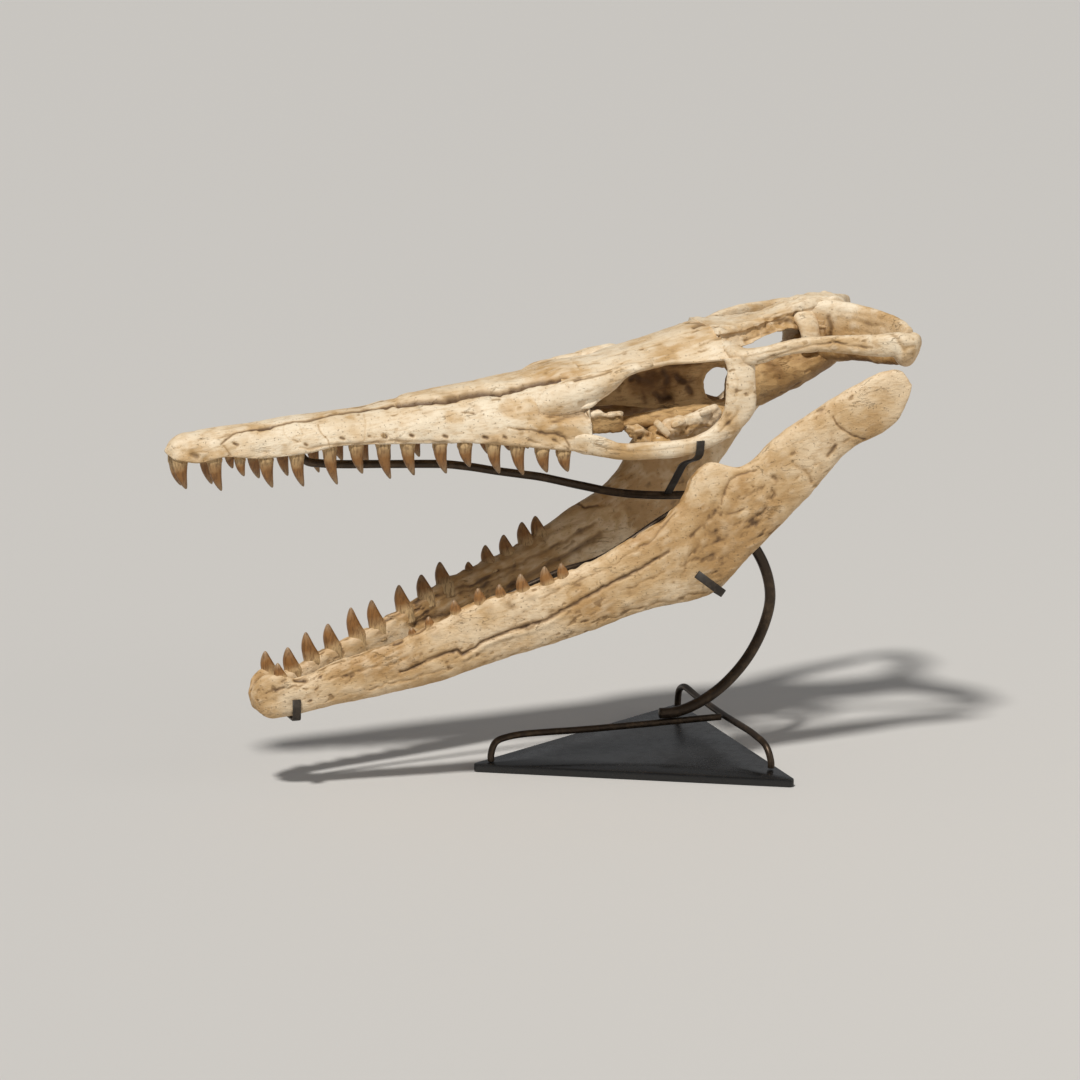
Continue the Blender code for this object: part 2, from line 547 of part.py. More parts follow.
def build_front_skull():
    """Snout, roof and brow ridges as one body, then parted along the sutures."""
    snout_xs = [-0.362, -0.358, -0.350, -0.340, -0.325, -0.297, -0.270, -0.241, -0.213, -0.170,
                -0.129, -0.095, -0.078, ORBIT_FRONT_X]
    whole = loft("whole", [snout_ring(x) for x in snout_xs])
    roof = loft("roof", [roof_ring(x) for x in (-0.066, -0.045, -0.020, 0.006, 0.026, ROOF_REAR_X)])
    brows = [bar("brow", mirrored(BROW, s), sides=8, rings=7) for s in (-1, 1)]
    fuse(whole, [roof] + brows)
    for s in (-1, 1):
        cut(whole, mirrored(NARIS, s), PALATE_TOP_Z, OVER_Z)

    take(whole, "palate", both_sides(PALATE_PLAN), UNDER_Z, PALATE_TOP_Z)
    nose = take(whole, "premaxilla", both_sides(NOSE_PLAN), UNDER_Z, OVER_Z)
    fuse(nose, upper_teeth(-1, -0.36, NOSE_REAR_X) + upper_teeth(1, -0.36, NOSE_REAR_X))
    take(whole, "frontal", both_sides(FRONTAL_PLAN), FRONTAL_LOW_Z, OVER_Z)
    for s, word in SIDES:
        take(whole, "prefrontal_" + word, PREFRONTAL_SIDE, *side_span(s, 0.010), axis="y")
    for s, word in SIDES:
        bone = copy_of(whole, "maxilla_" + word)
        half = prism("half", [(-0.4, 0.1), (0.1, 0.1), (0.1, OVER_Z), (-0.4, OVER_Z)], *side_span(s, 0.002),
                     axis="y")
        keep_largest(apply_boolean(bone, [half], "INTERSECT"))
        discard([half])
        fuse(bone, upper_teeth(s, NOSE_REAR_X, -0.066))
    discard([whole])


def parietal_floor(x):
    """Height of the parietal's flat underside."""
    return top_z(x) - parietal_depth(x)


def parietal_ring(x):
    """Section of the parietal: a narrow table with flared side walls."""
    half = parietal_half(x)
    top = top_z(x)
    depth = top - parietal_floor(x)
    right = [(half * 0.55, top), (half, top - 0.003), (half + 0.0022, top - 0.45 * depth),
             (half + 0.004, top - depth)]
    return [(x, y, z) for y, z in right] + [(x, -y, z) for y, z in reversed(right)]


def build_rear_skull():
    """Parietal with its rear arms, braincase, and the arcades and cheeks of both sides."""
    parietal = loft("parietal", [parietal_ring(x) for x in PARIETAL_XS])
    fuse(parietal, [bar("arm", mirrored(REAR_ARM, s), sides=8, rings=7) for s in (-1, 1)])

    case = bar("braincase", BRAINCASE, sides=12, rings=13)
    pillars = [bar("pillar", stations, sides=8, rings=4, up=(1, 0, 0))
               for stations in (FRONT_PILLAR, REAR_PILLAR)]
    fuse(case, pillars + [bar("wing", mirrored(WING, s), sides=8, rings=6) for s in (-1, 1)])
    xs = PARIETAL_XS + [PARIETAL_XS[-1] + GAP]
    under_parietal = [(x, parietal_floor(x) - GAP - (ARM_ROOM if x > ARM_ROOM_X else 0.0)) for x in xs]
    under_parietal += [(xs[-1], OVER_Z), (xs[0], OVER_Z)]
    cut(case, under_parietal, -0.03, 0.03, axis="y")
    front = WALL_REAR_X + GAP
    cut(case, [(0.03, UNDER_Z), (front, UNDER_Z), (front, OVER_Z), (0.03, OVER_Z)], -0.05, 0.05, axis="y")

    for s, word in SIDES:
        bar("postorbital_" + word, mirrored(POSTORBITAL, s), sides=8, rings=10)
        bar("squamosal_" + word, mirrored(SQUAMOSAL, s), sides=8, rings=14)
        cheek = bar("jugal_" + word, mirrored(JUGAL, s), sides=8, rings=18)
        rear = ORBIT_FRONT_X + GAP
        cut(cheek, [(-0.1, -0.1), (rear, -0.1), (rear, 0.1), (-0.1, 0.1)], UNDER_Z, OVER_Z)
        pterygoid = bar("pterygoid_" + word, mirrored(PTERYGOID, s), sides=8, rings=10)
        fuse(pterygoid, [bar("ridge", mirrored(RIDGE, s), sides=7, rings=9),
                         bar("strut", mirrored(STRUT, s), sides=6, rings=4)])


def build_orbit_walls():
    """Median wall between the orbits, open round its rear window, and a broken plate each side."""
    roof_line = [(x, top_z(x) - ROOF_THICK - 3 * GAP) for x in (-0.060, -0.040, -0.015, 0.015, 0.0405)]
    rear_line = [(0.0415, parietal_floor(0.0427) - 3 * GAP), (0.054, 0.3000), (WALL_REAR_X, 0.2950)]
    outline = [(-0.0615, 0.2630), (-0.030, 0.2650), (0.000, 0.2680), (0.030, 0.2560), (WALL_REAR_X, 0.2560)]
    outline += list(reversed(roof_line + rear_line)) + [(-0.0615, 0.2880)]
    wall = prism("orbital_wall", outline, -WALL_HALF, WALL_HALF, axis="y")
    x, z, across, tall = WINDOW
    turns = [2 * math.pi * k / 14 for k in range(14)]
    cut(wall, [(x + across * math.cos(a), z + tall * math.sin(a)) for a in turns], -0.02, 0.02, axis="y")
    for s, word in SIDES:
        low, high = sorted(s * y for y in PALATINE_Y)
        prism("palatine_" + word, PALATINE_SIDE, low, high, axis="y")


def jaw_ring(x, s, around=12):
    """Section of one side of the lower jaw: an upright oval."""
    low, high, thick = jaw_low(x), jaw_high(x), jaw_thick(x)
    high += far_edge_lift(x) if s > 0 else 0.0
    middle = s * (jaw_out(x) - thick / 2)
    centre = (low + high) / 2
    ring = []
    for k in range(around):
        angle = 2 * math.pi * k / around
        across = math.copysign(abs(math.cos(angle)) ** 0.75, math.cos(angle))
        tall = math.copysign(abs(math.sin(angle)) ** 0.85, math.sin(angle))
        ring.append((x, middle + across * thick / 2, centre + tall * (high - low) / 2))
    return ring


def build_jaw(s, word, tips, lengths):
    """One side of the lower jaw: dentary with teeth, rear jaw, coronoid and articular."""
    whole = loft("ramus", [jaw_ring(x, s) for x in JAW_XS])
    low, high = side_span(s, 0.0)
    take(whole, "articular_" + word, ARTICULAR_SIDE, low, high, axis="y")
    take(whole, "coronoid_" + word, CORONOID_SIDE, low, high, axis="y")
    take(whole, "rear_jaw_" + word, REAR_JAW_SIDE, low, high, axis="y")
    dentary = keep_largest(copy_of(whole, "dentary_" + word))
    discard([whole])
    fuse(dentary, lower_teeth(s, tips, lengths))


def build_base():
    """Triangular plate with rounded corners, one corner towards the snout."""
    reach = BASE_SIDE / math.sqrt(3.0) - 2 * BASE_CORNER
    outline = []
    for corner in range(3):
        middle = math.pi + corner * 2 * math.pi / 3
        for k in range(5):
            angle = middle - math.pi / 3 + k * math.pi / 6
            outline.append((reach * math.cos(middle) + BASE_CORNER * math.cos(angle),
                            reach * math.sin(middle) + BASE_CORNER * math.sin(angle)))
    prism("stand_base", outline, 0.0, BASE_THICK)


def build_mount():
    """Base plate, the bent rods on it and the straps that hold the bones."""
    build_base()
    rod("stand_long_rod", LONG_ROD, LONG_ROD_RADIUS, rings=12)
    rod("stand_cross_rod", CROSS_ROD, LONG_ROD_RADIUS, rings=22, up=(1, 0, 0))
    rod("stand_main_rod", MAIN_ROD, MAIN_ROD_RADIUS, rings=16)
    rod("stand_upper_rod", UPPER_ROD, UPPER_ROD_RADIUS, rings=26)
    rod("stand_jaw_rod", JAW_ROD, JAW_ROD_RADIUS, rings=14)
    rod("stand_jaw_post", JAW_POST, JAW_ROD_RADIUS, rings=3, up=(1, 0, 0))
    x, half, (low, high) = FRONT_CLIP_X, FRONT_CLIP_HALF, FRONT_CLIP_Z
    strap("stand_jaw_clip_front", [(x, -half, high), (x, -half, low), (x, half, low), (x, half, high)],
          (1, 0, 0))
    (x, tip_x), half, (low, high) = REAR_CLIP_X, REAR_CLIP_HALF, REAR_CLIP_Z
    strap("stand_jaw_clip_rear", [(tip_x, -half, high), (x, -half, low), (x, half, low),
                                  (tip_x, half, high)], REAR_CLIP_SLANT)
    strap("stand_cheek_clip", CHEEK_CLIP, (1, 0, 0))


def main():
    clear_scene()
    build_front_skull()
    build_rear_skull()
    build_orbit_walls()
    build_jaw(-1, "left", NEAR_LOWER_X, NEAR_LOWER_LENGTHS)
    build_jaw(1, "right", FAR_LOWER_X, FAR_LOWER_LENGTHS)
    build_mount()
    for item in list(bpy.data.objects):
        if item.name.startswith("stand_"):
            look = BLACK_BASE if item.name == "stand_base" else BRONZE_ROD
        elif item.name.startswith(("dentary", "rear_jaw", "coronoid", "articular")):
            look = JAW_BONE
        else:
            look = BONE
        item.data.shade_smooth()
        item.data.set_sharp_from_angle(angle=math.radians(35))
        finish_material(item, look)


main()
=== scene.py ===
"""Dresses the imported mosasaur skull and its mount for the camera.

Every bone is a closed surface on a grid: a section carried along stations, with furrows, cracks,
pits and weathering worked into it. Furrows are placed by the pixel where the photograph shows
them, and the hidden side carries the same ones, mirrored in the skull's mid-plane.
"""
import logging
import math
from dataclasses import dataclass, field
from enum import Enum
from typing import Callable, Sequence

import bpy
import numpy as np
from mathutils import Matrix, Vector


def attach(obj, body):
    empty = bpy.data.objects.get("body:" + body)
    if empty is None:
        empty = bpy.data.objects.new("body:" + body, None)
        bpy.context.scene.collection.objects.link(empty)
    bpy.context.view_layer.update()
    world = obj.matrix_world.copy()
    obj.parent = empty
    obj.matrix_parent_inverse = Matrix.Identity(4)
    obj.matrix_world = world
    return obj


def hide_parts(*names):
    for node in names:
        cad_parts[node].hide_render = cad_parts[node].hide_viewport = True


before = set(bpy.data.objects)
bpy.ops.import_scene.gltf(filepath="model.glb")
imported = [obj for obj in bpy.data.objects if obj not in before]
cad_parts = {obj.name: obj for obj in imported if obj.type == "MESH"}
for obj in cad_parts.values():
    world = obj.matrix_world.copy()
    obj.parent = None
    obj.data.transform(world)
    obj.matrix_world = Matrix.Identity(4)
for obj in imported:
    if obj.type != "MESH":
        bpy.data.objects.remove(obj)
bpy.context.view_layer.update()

LOG = logging.getLogger("skull")
Array = np.ndarray
Line = Sequence[Sequence[float]]
Triple = tuple[float, float, float]
Socket = bpy.types.NodeSocket
MM = 0.001
SIDES = ((-1, "left"), (1, "right"))
FORWARD = (1, 0, 0)


def mm(*rows: Sequence[float]) -> Line:
    """Turn rows of millimetres into metres."""
    return tuple(tuple(value / 1000 for value in row) for row in rows)


class Face(Enum):
    """Which face of a paired bone a furrow lies on: its y sign when seen by the camera."""

    OUTER = -1
    INNER = 1


def hermite(stations: Line, at: Array) -> Array:
    """Read a smooth curve through stations.

    The curve is a cubic between neighbours, knotted by the root of their distance, with the slope
    of the stations around each.

    Args:
        stations: Rows of numbers, one row a station.
        at: Places along the curve, from 0 at the first station to 1 at the last.

    Returns:
        One row for each place.
    """
    rows = np.array(stations, float)
    steps = np.sqrt(np.linalg.norm(np.diff(rows, axis=0), axis=1))
    knots = np.concatenate([[0.0], np.cumsum(steps)])
    slopes = np.gradient(rows, knots, axis=0)
    where = np.asarray(at) * knots[-1]
    seg = np.clip(np.searchsorted(knots, where, side="right") - 1, 0, len(knots) - 2)
    span = (knots[seg + 1] - knots[seg])[:, None]
    t = ((where - knots[seg]) / span[:, 0])[:, None]
    return ((2 * t**3 - 3 * t**2 + 1) * rows[seg] + (t**3 - 2 * t**2 + t) * span * slopes[seg]
            + (3 * t**2 - 2 * t**3) * rows[seg + 1] + (t**3 - t**2) * span * slopes[seg + 1])


def profile(stations: Line) -> Callable[[Array], Array]:
    """Turn (x, value) stations into a function of x that follows their smooth curve."""
    rows = hermite(stations, np.linspace(0.0, 1.0, 8 * len(stations)))
    rows = rows[np.argsort(rows[:, 0])]
    return lambda x: np.interp(x, rows[:, 0], rows[:, 1])


def smooth(value: Array, low: float, high: float) -> Array:
    """Rise from 0 at low to 1 at high along an S curve."""
    t = np.clip((value - low) / (high - low), 0.0, 1.0)
    return t * t * (3 - 2 * t)


class Noise:
    """Smooth random field: values on a cubic lattice, blended between its corners."""

    def __init__(self, seed: int) -> None:
        """Fill the lattice from a seed."""
        self.size = 48
        self.table = np.random.default_rng(seed).uniform(-1.0, 1.0, (self.size,) * 3)

    def at(self, p: Array) -> Array:
        """Read the field: each corner counts by the S-curved nearness of the point to it.

        Args:
            p: Points in lattice cells, last axis x, y, z.

        Returns:
            Values between -1 and 1.
        """
        cell = np.floor(p).astype(int)
        f = p - cell
        f = f * f * (3 - 2 * f)
        total = np.zeros(p.shape[:-1])
        for corner in np.ndindex(2, 2, 2):
            weight = np.prod(np.where(corner, f, 1 - f), axis=-1)
            i, j, k = np.moveaxis((cell + corner) % self.size, -1, 0)
            total += weight * self.table[i, j, k]
        return total

    def fractal(self, p: Array, octaves: int) -> Array:
        """Add copies of the field, each twice as fine and half as strong."""
        total = np.zeros(p.shape[:-1])
        for octave in range(octaves):
            total += 0.5**octave * self.at(p * 2.0**octave + 7.3 * octave)
        return total


@dataclass(frozen=True)
class Viewpoint:
    """The photograph's camera, and where it sees a point."""

    azimuth: float = 19.2
    elevation: float = 12.5
    target: Triple = (-0.084, 0.0, 0.168)
    distance: float = 4.0
    pixel: float = 0.00072
    side: int = 1080

    def axes(self) -> tuple[Array, Array, Array]:
        """Return the camera's forward, right and up directions."""
        a, e = math.radians(self.azimuth), math.radians(self.elevation)
        ahead = np.array([math.sin(a) * math.cos(e), math.cos(a) * math.cos(e), -math.sin(e)])
        right = np.array([math.cos(a), -math.sin(a), 0.0])
        return ahead, right, np.cross(right, ahead)

    def pixels(self, p: Array) -> tuple[Array, Array]:
        """Project points: offsets from the camera, divided by depth, as photograph pixels.

        Args:
            p: Points, last axis x, y, z.

        Returns:
            Pixel columns and rows.
        """
        ahead, right, up = self.axes()
        q = p - (np.array(self.target) - ahead * self.distance)
        scale = self.distance / self.pixel / (q @ ahead)
        return self.side / 2 + (q @ right) * scale, self.side / 2 - (q @ up) * scale

    def place(self) -> None:
        """Put the camera at the viewpoint and make it the scene's."""
        ahead, right, up = (Vector(v) for v in self.axes())
        data = bpy.data.cameras.new("view")
        data.sensor_width = 36.0
        data.lens = data.sensor_width * self.distance / (self.pixel * self.side)
        data.clip_end = 50.0
        item = bpy.data.objects.new("view", data)
        spin = Matrix((right, up, -ahead)).transposed().to_4x4()
        spin.translation = Vector(self.target) - ahead * self.distance
        item.matrix_world = spin
        bpy.context.scene.collection.objects.link(item)
        bpy.context.scene.camera = item


VIEW = Viewpoint()
SWAY = Noise(11)
RELIEF = Noise(23)


@dataclass(frozen=True)
class Furrow:
    """A crack, suture or furrow along a line of photograph pixels.

    Width is its half width in pixels and depth its depth in millimetres, where a negative depth
    raises a ridge. Dark is how dark it is painted: grime in most, but painted shadow in the snout's grooves
    under the prefrontal's overhang; wander is how far it strays, in pixels.
    """

    line: Line
    width: float = 1.5
    depth: float = 0.7
    dark: float = 0.8
    wander: float = 1.0
    face: Face = Face.OUTER

    def nearness(self, u: Array, v: Array) -> Array:
        """Return 1 on the line, falling off as a bell curve of the distance to it."""
        best = np.full(u.shape, 1e9)
        points = np.array(self.line, float)
        ends = points[1:] if len(points) > 1 else points
        for a, b in zip(points, ends):
            run = b - a
            t = ((u - a[0]) * run[0] + (v - a[1]) * run[1]) / max(float(run @ run), 1e-9)
            t = np.clip(t, 0.0, 1.0)
            best = np.minimum(best, (u - a[0] - t * run[0])**2 + (v - a[1] - t * run[1])**2)
        return np.exp(-best / self.width**2)


@dataclass(frozen=True)
class Patch:
    """An oval patch of photograph pixels that is rougher, more stained or paler than the rest."""

    centre: tuple[float, float]
    reach: tuple[float, float]
    rough: float = 0.0
    stain: float = 0.0
    face: Face = Face.OUTER


@dataclass(frozen=True)
class Weather:
    """Relief that age gives a bone: amplitudes in millimetres and sizes in metres.

    Stretch is how many times longer than wide the grain is, pitch its rise towards the rear in
    degrees, and pit_share the noise above which a pit opens.
    """

    stain_size: float = 0.034
    sway_size: float = 0.006
    swell: float = 0.45
    swell_size: float = 0.030
    lump: float = 0.30
    lump_size: float = 0.0070
    grain: float = 0.15
    grain_size: float = 0.0020
    stretch: float = 7.0
    pitch: float = 10.0
    pit: float = 0.35
    pit_size: float = 0.0030
    pit_share: float = 0.50
    pit_spread: float = 0.020


@dataclass
class Carver:
    """Works furrows, patches and weathering into a grid of points."""

    weather: Weather = Weather()
    furrows: tuple[Furrow, ...] = ()
    patches: tuple[Patch, ...] = ()

    @staticmethod
    def normals(grid: Array) -> Array:
        """Cross the slopes along rows and round columns, and turn them to point outwards.

        Outwards is away from each section's middle, where every point counts by its area.
        """
        along = np.gradient(grid, axis=0)
        around = np.roll(grid, -1, 1) - np.roll(grid, 1, 1)
        n = np.cross(around, along)
        inward = np.sum(n * (grid - grid.mean(axis=1, keepdims=True))) < 0
        n /= np.maximum(np.linalg.norm(n, axis=-1, keepdims=True), 1e-12)
        return -n if inward else n

    def facing(self, grid: Array, n: Array, face: Face) -> tuple[Array, Array, Array]:
        """Bring one face of a bone in front of the camera, as in a mirror.

        Args:
            grid: Points of the surface.
            n: Their normals.
            face: The face to show.

        Returns:
            Pixel columns, pixel rows, and how far each point faces the camera.
        """
        flip = np.where(grid[..., 1] < 0, -1.0, 1.0) * face.value
        q, m = grid.copy(), n.copy()
        q[..., 1] *= flip
        m[..., 1] *= flip
        u, v = VIEW.pixels(q)
        return u, v, smooth(-(m @ VIEW.axes()[0]), 0.02, 0.30)

    def carve(self, grid: Array) -> tuple[Array, dict[str, Array]]:
        """Move each point along its normal by the sum of all relief.

        Args:
            grid: Points of a closed section carried along rows.

        Returns:
            The new points, and three fields for the finish: the dark field (grime in cracks and pits, and
            painted shadow in the grooves under the prefrontal), the stain field (stains, and painted shade on
            faces turned down), and the pale field (wear, and a painted highlight on faces turned up).
        """
        n = self.normals(grid)
        w = self.weather
        turn = math.radians(w.pitch)
        along = grid[..., 0] * math.cos(turn) + grid[..., 2] * math.sin(turn)
        rise = grid[..., 2] * math.cos(turn) - grid[..., 0] * math.sin(turn)
        fibre = np.stack([along / w.stretch, grid[..., 1], rise], axis=-1)
        rough = np.ones(grid.shape[:2])
        stain = 0.5 + 0.5 * RELIEF.fractal(grid / w.stain_size + 3.1, 3)
        cut = np.zeros(grid.shape[:2])
        dirt_and_shade = np.zeros(grid.shape[:2])
        sway_u, sway_v = (SWAY.fractal(grid / w.sway_size + start, 2) for start in (0.0, 19.0))
        for face in Face:
            furrows = [f for f in self.furrows if f.face is face]
            patches = [p for p in self.patches if p.face is face]
            if not furrows and not patches:
                continue
            u, v, seen = self.facing(grid, n, face)
            for f in furrows:
                near = f.nearness(u + f.wander * sway_u, v + f.wander * sway_v) * seen
                cut += f.depth * near
                dirt_and_shade = np.maximum(dirt_and_shade, f.dark * near)
            for p in patches:
                far = np.hypot((u - p.centre[0]) / p.reach[0], (v - p.centre[1]) / p.reach[1])
                inside = (1 - smooth(far + 0.15 * sway_u, 0.6, 1.1)) * seen
                rough += p.rough * inside
                stain += p.stain * inside
        swell = RELIEF.fractal(grid / w.swell_size, 2)
        lump = RELIEF.fractal(grid / w.lump_size + 5.0, 2)
        grain = RELIEF.fractal(fibre / w.grain_size + 9.0, 3)
        pits = RELIEF.fractal(fibre * [3.0, 1.0, 1.0] / w.pit_size + 31.0, 2)
        pits = smooth(pits, w.pit_share, w.pit_share + 0.35)
        pits *= smooth(RELIEF.at(grid / w.pit_spread + 47.0), -0.2, 0.5) + 0.35 * (rough - 1)
        lift = w.swell * swell + rough * (w.lump * lump + w.grain * grain) - w.pit * pits - cut
        # hollow: darker in the dips of the lumps and grain, added to the dark field.
        hollow = np.clip(-lump - 0.12, 0, 1) + 0.8 * np.clip(-grain - 0.25, 0, 1)
        dirt_and_shade = np.clip(np.maximum(dirt_and_shade, 0.62 * np.clip(pits, 0, 1)) + 0.36 * rough * hollow, 0, 1)
        # Pale field: paler on lumps and grain as wear, plus a painted highlight on faces turned up, where
        # light from above falls.
        wear_and_top_highlight = np.clip(0.8 * lump + 0.6 * grain + 0.30 * n[..., 2], 0, 1)
        # Painted shade: faces turned down get extra stain, so undersides read darker and more ochre.
        stain += 0.22 * np.clip(-n[..., 2] + 0.15, 0, 1)
        fields = {"dirt_and_shade": dirt_and_shade, "stain": np.clip(stain, 0, 1.4), "wear_and_top_highlight": wear_and_top_highlight}
        return grid + n * (lift * MM)[..., None], fields


@dataclass
class Shell:
    """One mesh made of closed grids, with a number for each point in each named field."""

    points: list[Array] = field(default_factory=list)
    quads: list[Array] = field(default_factory=list)
    tris: list[Array] = field(default_factory=list)
    fields: dict[str, list[Array]] = field(default_factory=dict)
    count: int = 0

    def add(self, grid: Array, fields: dict[str, Array] | None = None, ring: bool = False) -> "Shell":
        """Add a grid whose columns run round a section.

        The rows' ends are closed by fans to their middle points, or joined when the rows make a
        ring too. Faces are turned by the sign of the enclosed volume.

        Args:
            grid: Points, rows by columns by 3.
            fields: Numbers for each point.
            ring: Whether the last row joins the first.

        Returns:
            The shell itself.
        """
        rows, cols = grid.shape[:2]
        index = np.arange(rows * cols).reshape(rows, cols)
        below = np.roll(index, -1, 0) if ring else index[1:]
        above = index if ring else index[:-1]
        quads = np.stack([above, np.roll(above, -1, 1), np.roll(below, -1, 1), below], -1).reshape(-1, 4)
        points = grid.reshape(-1, 3)
        tris = np.zeros((0, 3), int)
        if not ring:
            points = np.vstack([points, grid[0].mean(0), grid[-1].mean(0)])
            first, last = index[0], index[-1]
            tris = np.vstack([
                np.stack([np.full(cols, rows * cols), np.roll(first, -1), first], -1),
                np.stack([np.full(cols, rows * cols + 1), last, np.roll(last, -1)], -1)])
        a, b, c, d = (points[quads[:, k]] - points.mean(0) for k in range(4))
        volume = np.sum(np.cross(a, b) * c) + np.sum(np.cross(a, c) * d)
        if volume < 0:
            quads, tris = quads[:, ::-1], tris[:, ::-1]
        self.points.append(points)
        self.quads.append(quads + self.count)
        self.tris.append(tris + self.count)
        for name, values in (fields or {}).items():
            flat = values.reshape(-1)
            if not ring:
                flat = np.concatenate([flat, [values[0].mean(), values[-1].mean()]])
            self.fields.setdefault(name, []).append(flat)
        self.count += len(points)
        return self

    def build(self, name: str, finish: bpy.types.Material, slot: str, *nodes: str) -> bpy.types.Object:
        """Make the mesh object, dress it and tie it to the frame.

        Args:
            name: Name of the piece.
            finish: Its material.
            slot: Not used.
            nodes: CAD nodes that it stands for.

        Returns:
            The new object.
        """
        points = np.vstack(self.points)
        quads, tris = np.vstack(self.quads), np.vstack(self.tris)
        mesh = bpy.data.meshes.new(name)
        mesh.vertices.add(len(points))
        mesh.vertices.foreach_set("co", points.astype(np.float32).ravel())
        mesh.loops.add(quads.size + tris.size)
        mesh.loops.foreach_set("vertex_index", np.concatenate([quads.ravel(), tris.ravel()]).astype(np.int32))
        sizes = np.concatenate([np.full(len(quads), 4), np.full(len(tris), 3)])
        mesh.polygons.add(len(sizes))
        starts = np.concatenate([[0], np.cumsum(sizes)[:-1]])
        mesh.polygons.foreach_set("loop_start", starts.astype(np.int32))
        mesh.polygons.foreach_set("use_smooth", np.ones(len(sizes), bool))
        mesh.update(calc_edges=True)
        for key, values in self.fields.items():
            layer = mesh.attributes.new(key, "FLOAT", "POINT")
            layer.data.foreach_set("value", np.concatenate(values).astype(np.float32))
        mesh.materials.append(finish)
        item = bpy.data.objects.new(name, mesh)
        bpy.context.scene.collection.objects.link(item)
        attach(item, "root")
        if nodes:
            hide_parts(*nodes)
        LOG.info("%s: %d points, stands for %s", name, len(points), ", ".join(nodes) or "nothing")
        return item


def directions(path: Array, up: Sequence[float]) -> tuple[Array, Array]:
    """Carry a side and an upward direction along a path, turning as little as the path lets them.

    Args:
        path: Points of the path.
        up: Upward direction at its start.

    Returns:
        Side and upward directions, one row a point.
    """
    ahead = np.gradient(path, axis=0)
    ahead /= np.linalg.norm(ahead, axis=1, keepdims=True)
    sides, ups, up = [], [], np.array(up, float)
    for forward in ahead:
        side = np.cross(up, forward)
        side /= np.linalg.norm(side)
        up = np.cross(forward, side)
        sides.append(side)
        ups.append(up)
    return np.array(sides), np.array(ups)


def sweep(stations: Line, rows: int, cols: int, up: Sequence[float] = (0, 0, 1), square: float = 1.0,
          blunt: float = 0.0015) -> Array:
    """Carry an oval along stations of (x, y, z, half across, half tall).

    The section is cosine across and sine up, each raised to the power square, and it closes like
    a ball within the length blunt of each end.

    Args:
        stations: The stations.
        rows: Sections along the path.
        cols: Points round a section.
        up: Upward direction at the start.
        square: Power below 1 for a boxier section.
        blunt: Length of the rounding at each end.

    Returns:
        The grid, rows by cols by 3.
    """
    at = np.linspace(0.0, 1.0, rows)
    at = at - 0.04 * np.sin(2 * np.pi * at)
    data = hermite(stations, np.clip(at, 0, 1))
    side, upward = directions(data[:, :3], up)
    steps = np.concatenate([[0.0], np.cumsum(np.linalg.norm(np.diff(data[:, :3], axis=0), axis=1))])
    close = np.clip(np.minimum(steps, steps[-1] - steps) / blunt, 0, 1)
    grow = np.sqrt(np.maximum(1 - (1 - close)**2, 0.003))[:, None]
    angle = np.linspace(0, 2 * np.pi, cols, endpoint=False)
    c = np.sign(np.cos(angle)) * np.abs(np.cos(angle))**square
    s = np.sign(np.sin(angle)) * np.abs(np.sin(angle))**square
    across = side[:, None] * (data[:, 3:4] * grow * c)[..., None]
    tall = upward[:, None] * (data[:, 4:5] * grow * s)[..., None]
    return data[:, None, :3] + across + tall


def mirrored(stations: Line, s: int) -> list[list[float]]:
    """Turn the y of right-side stations by the sign s."""
    return [[row[0], s * row[1], *row[2:]] for row in stations]


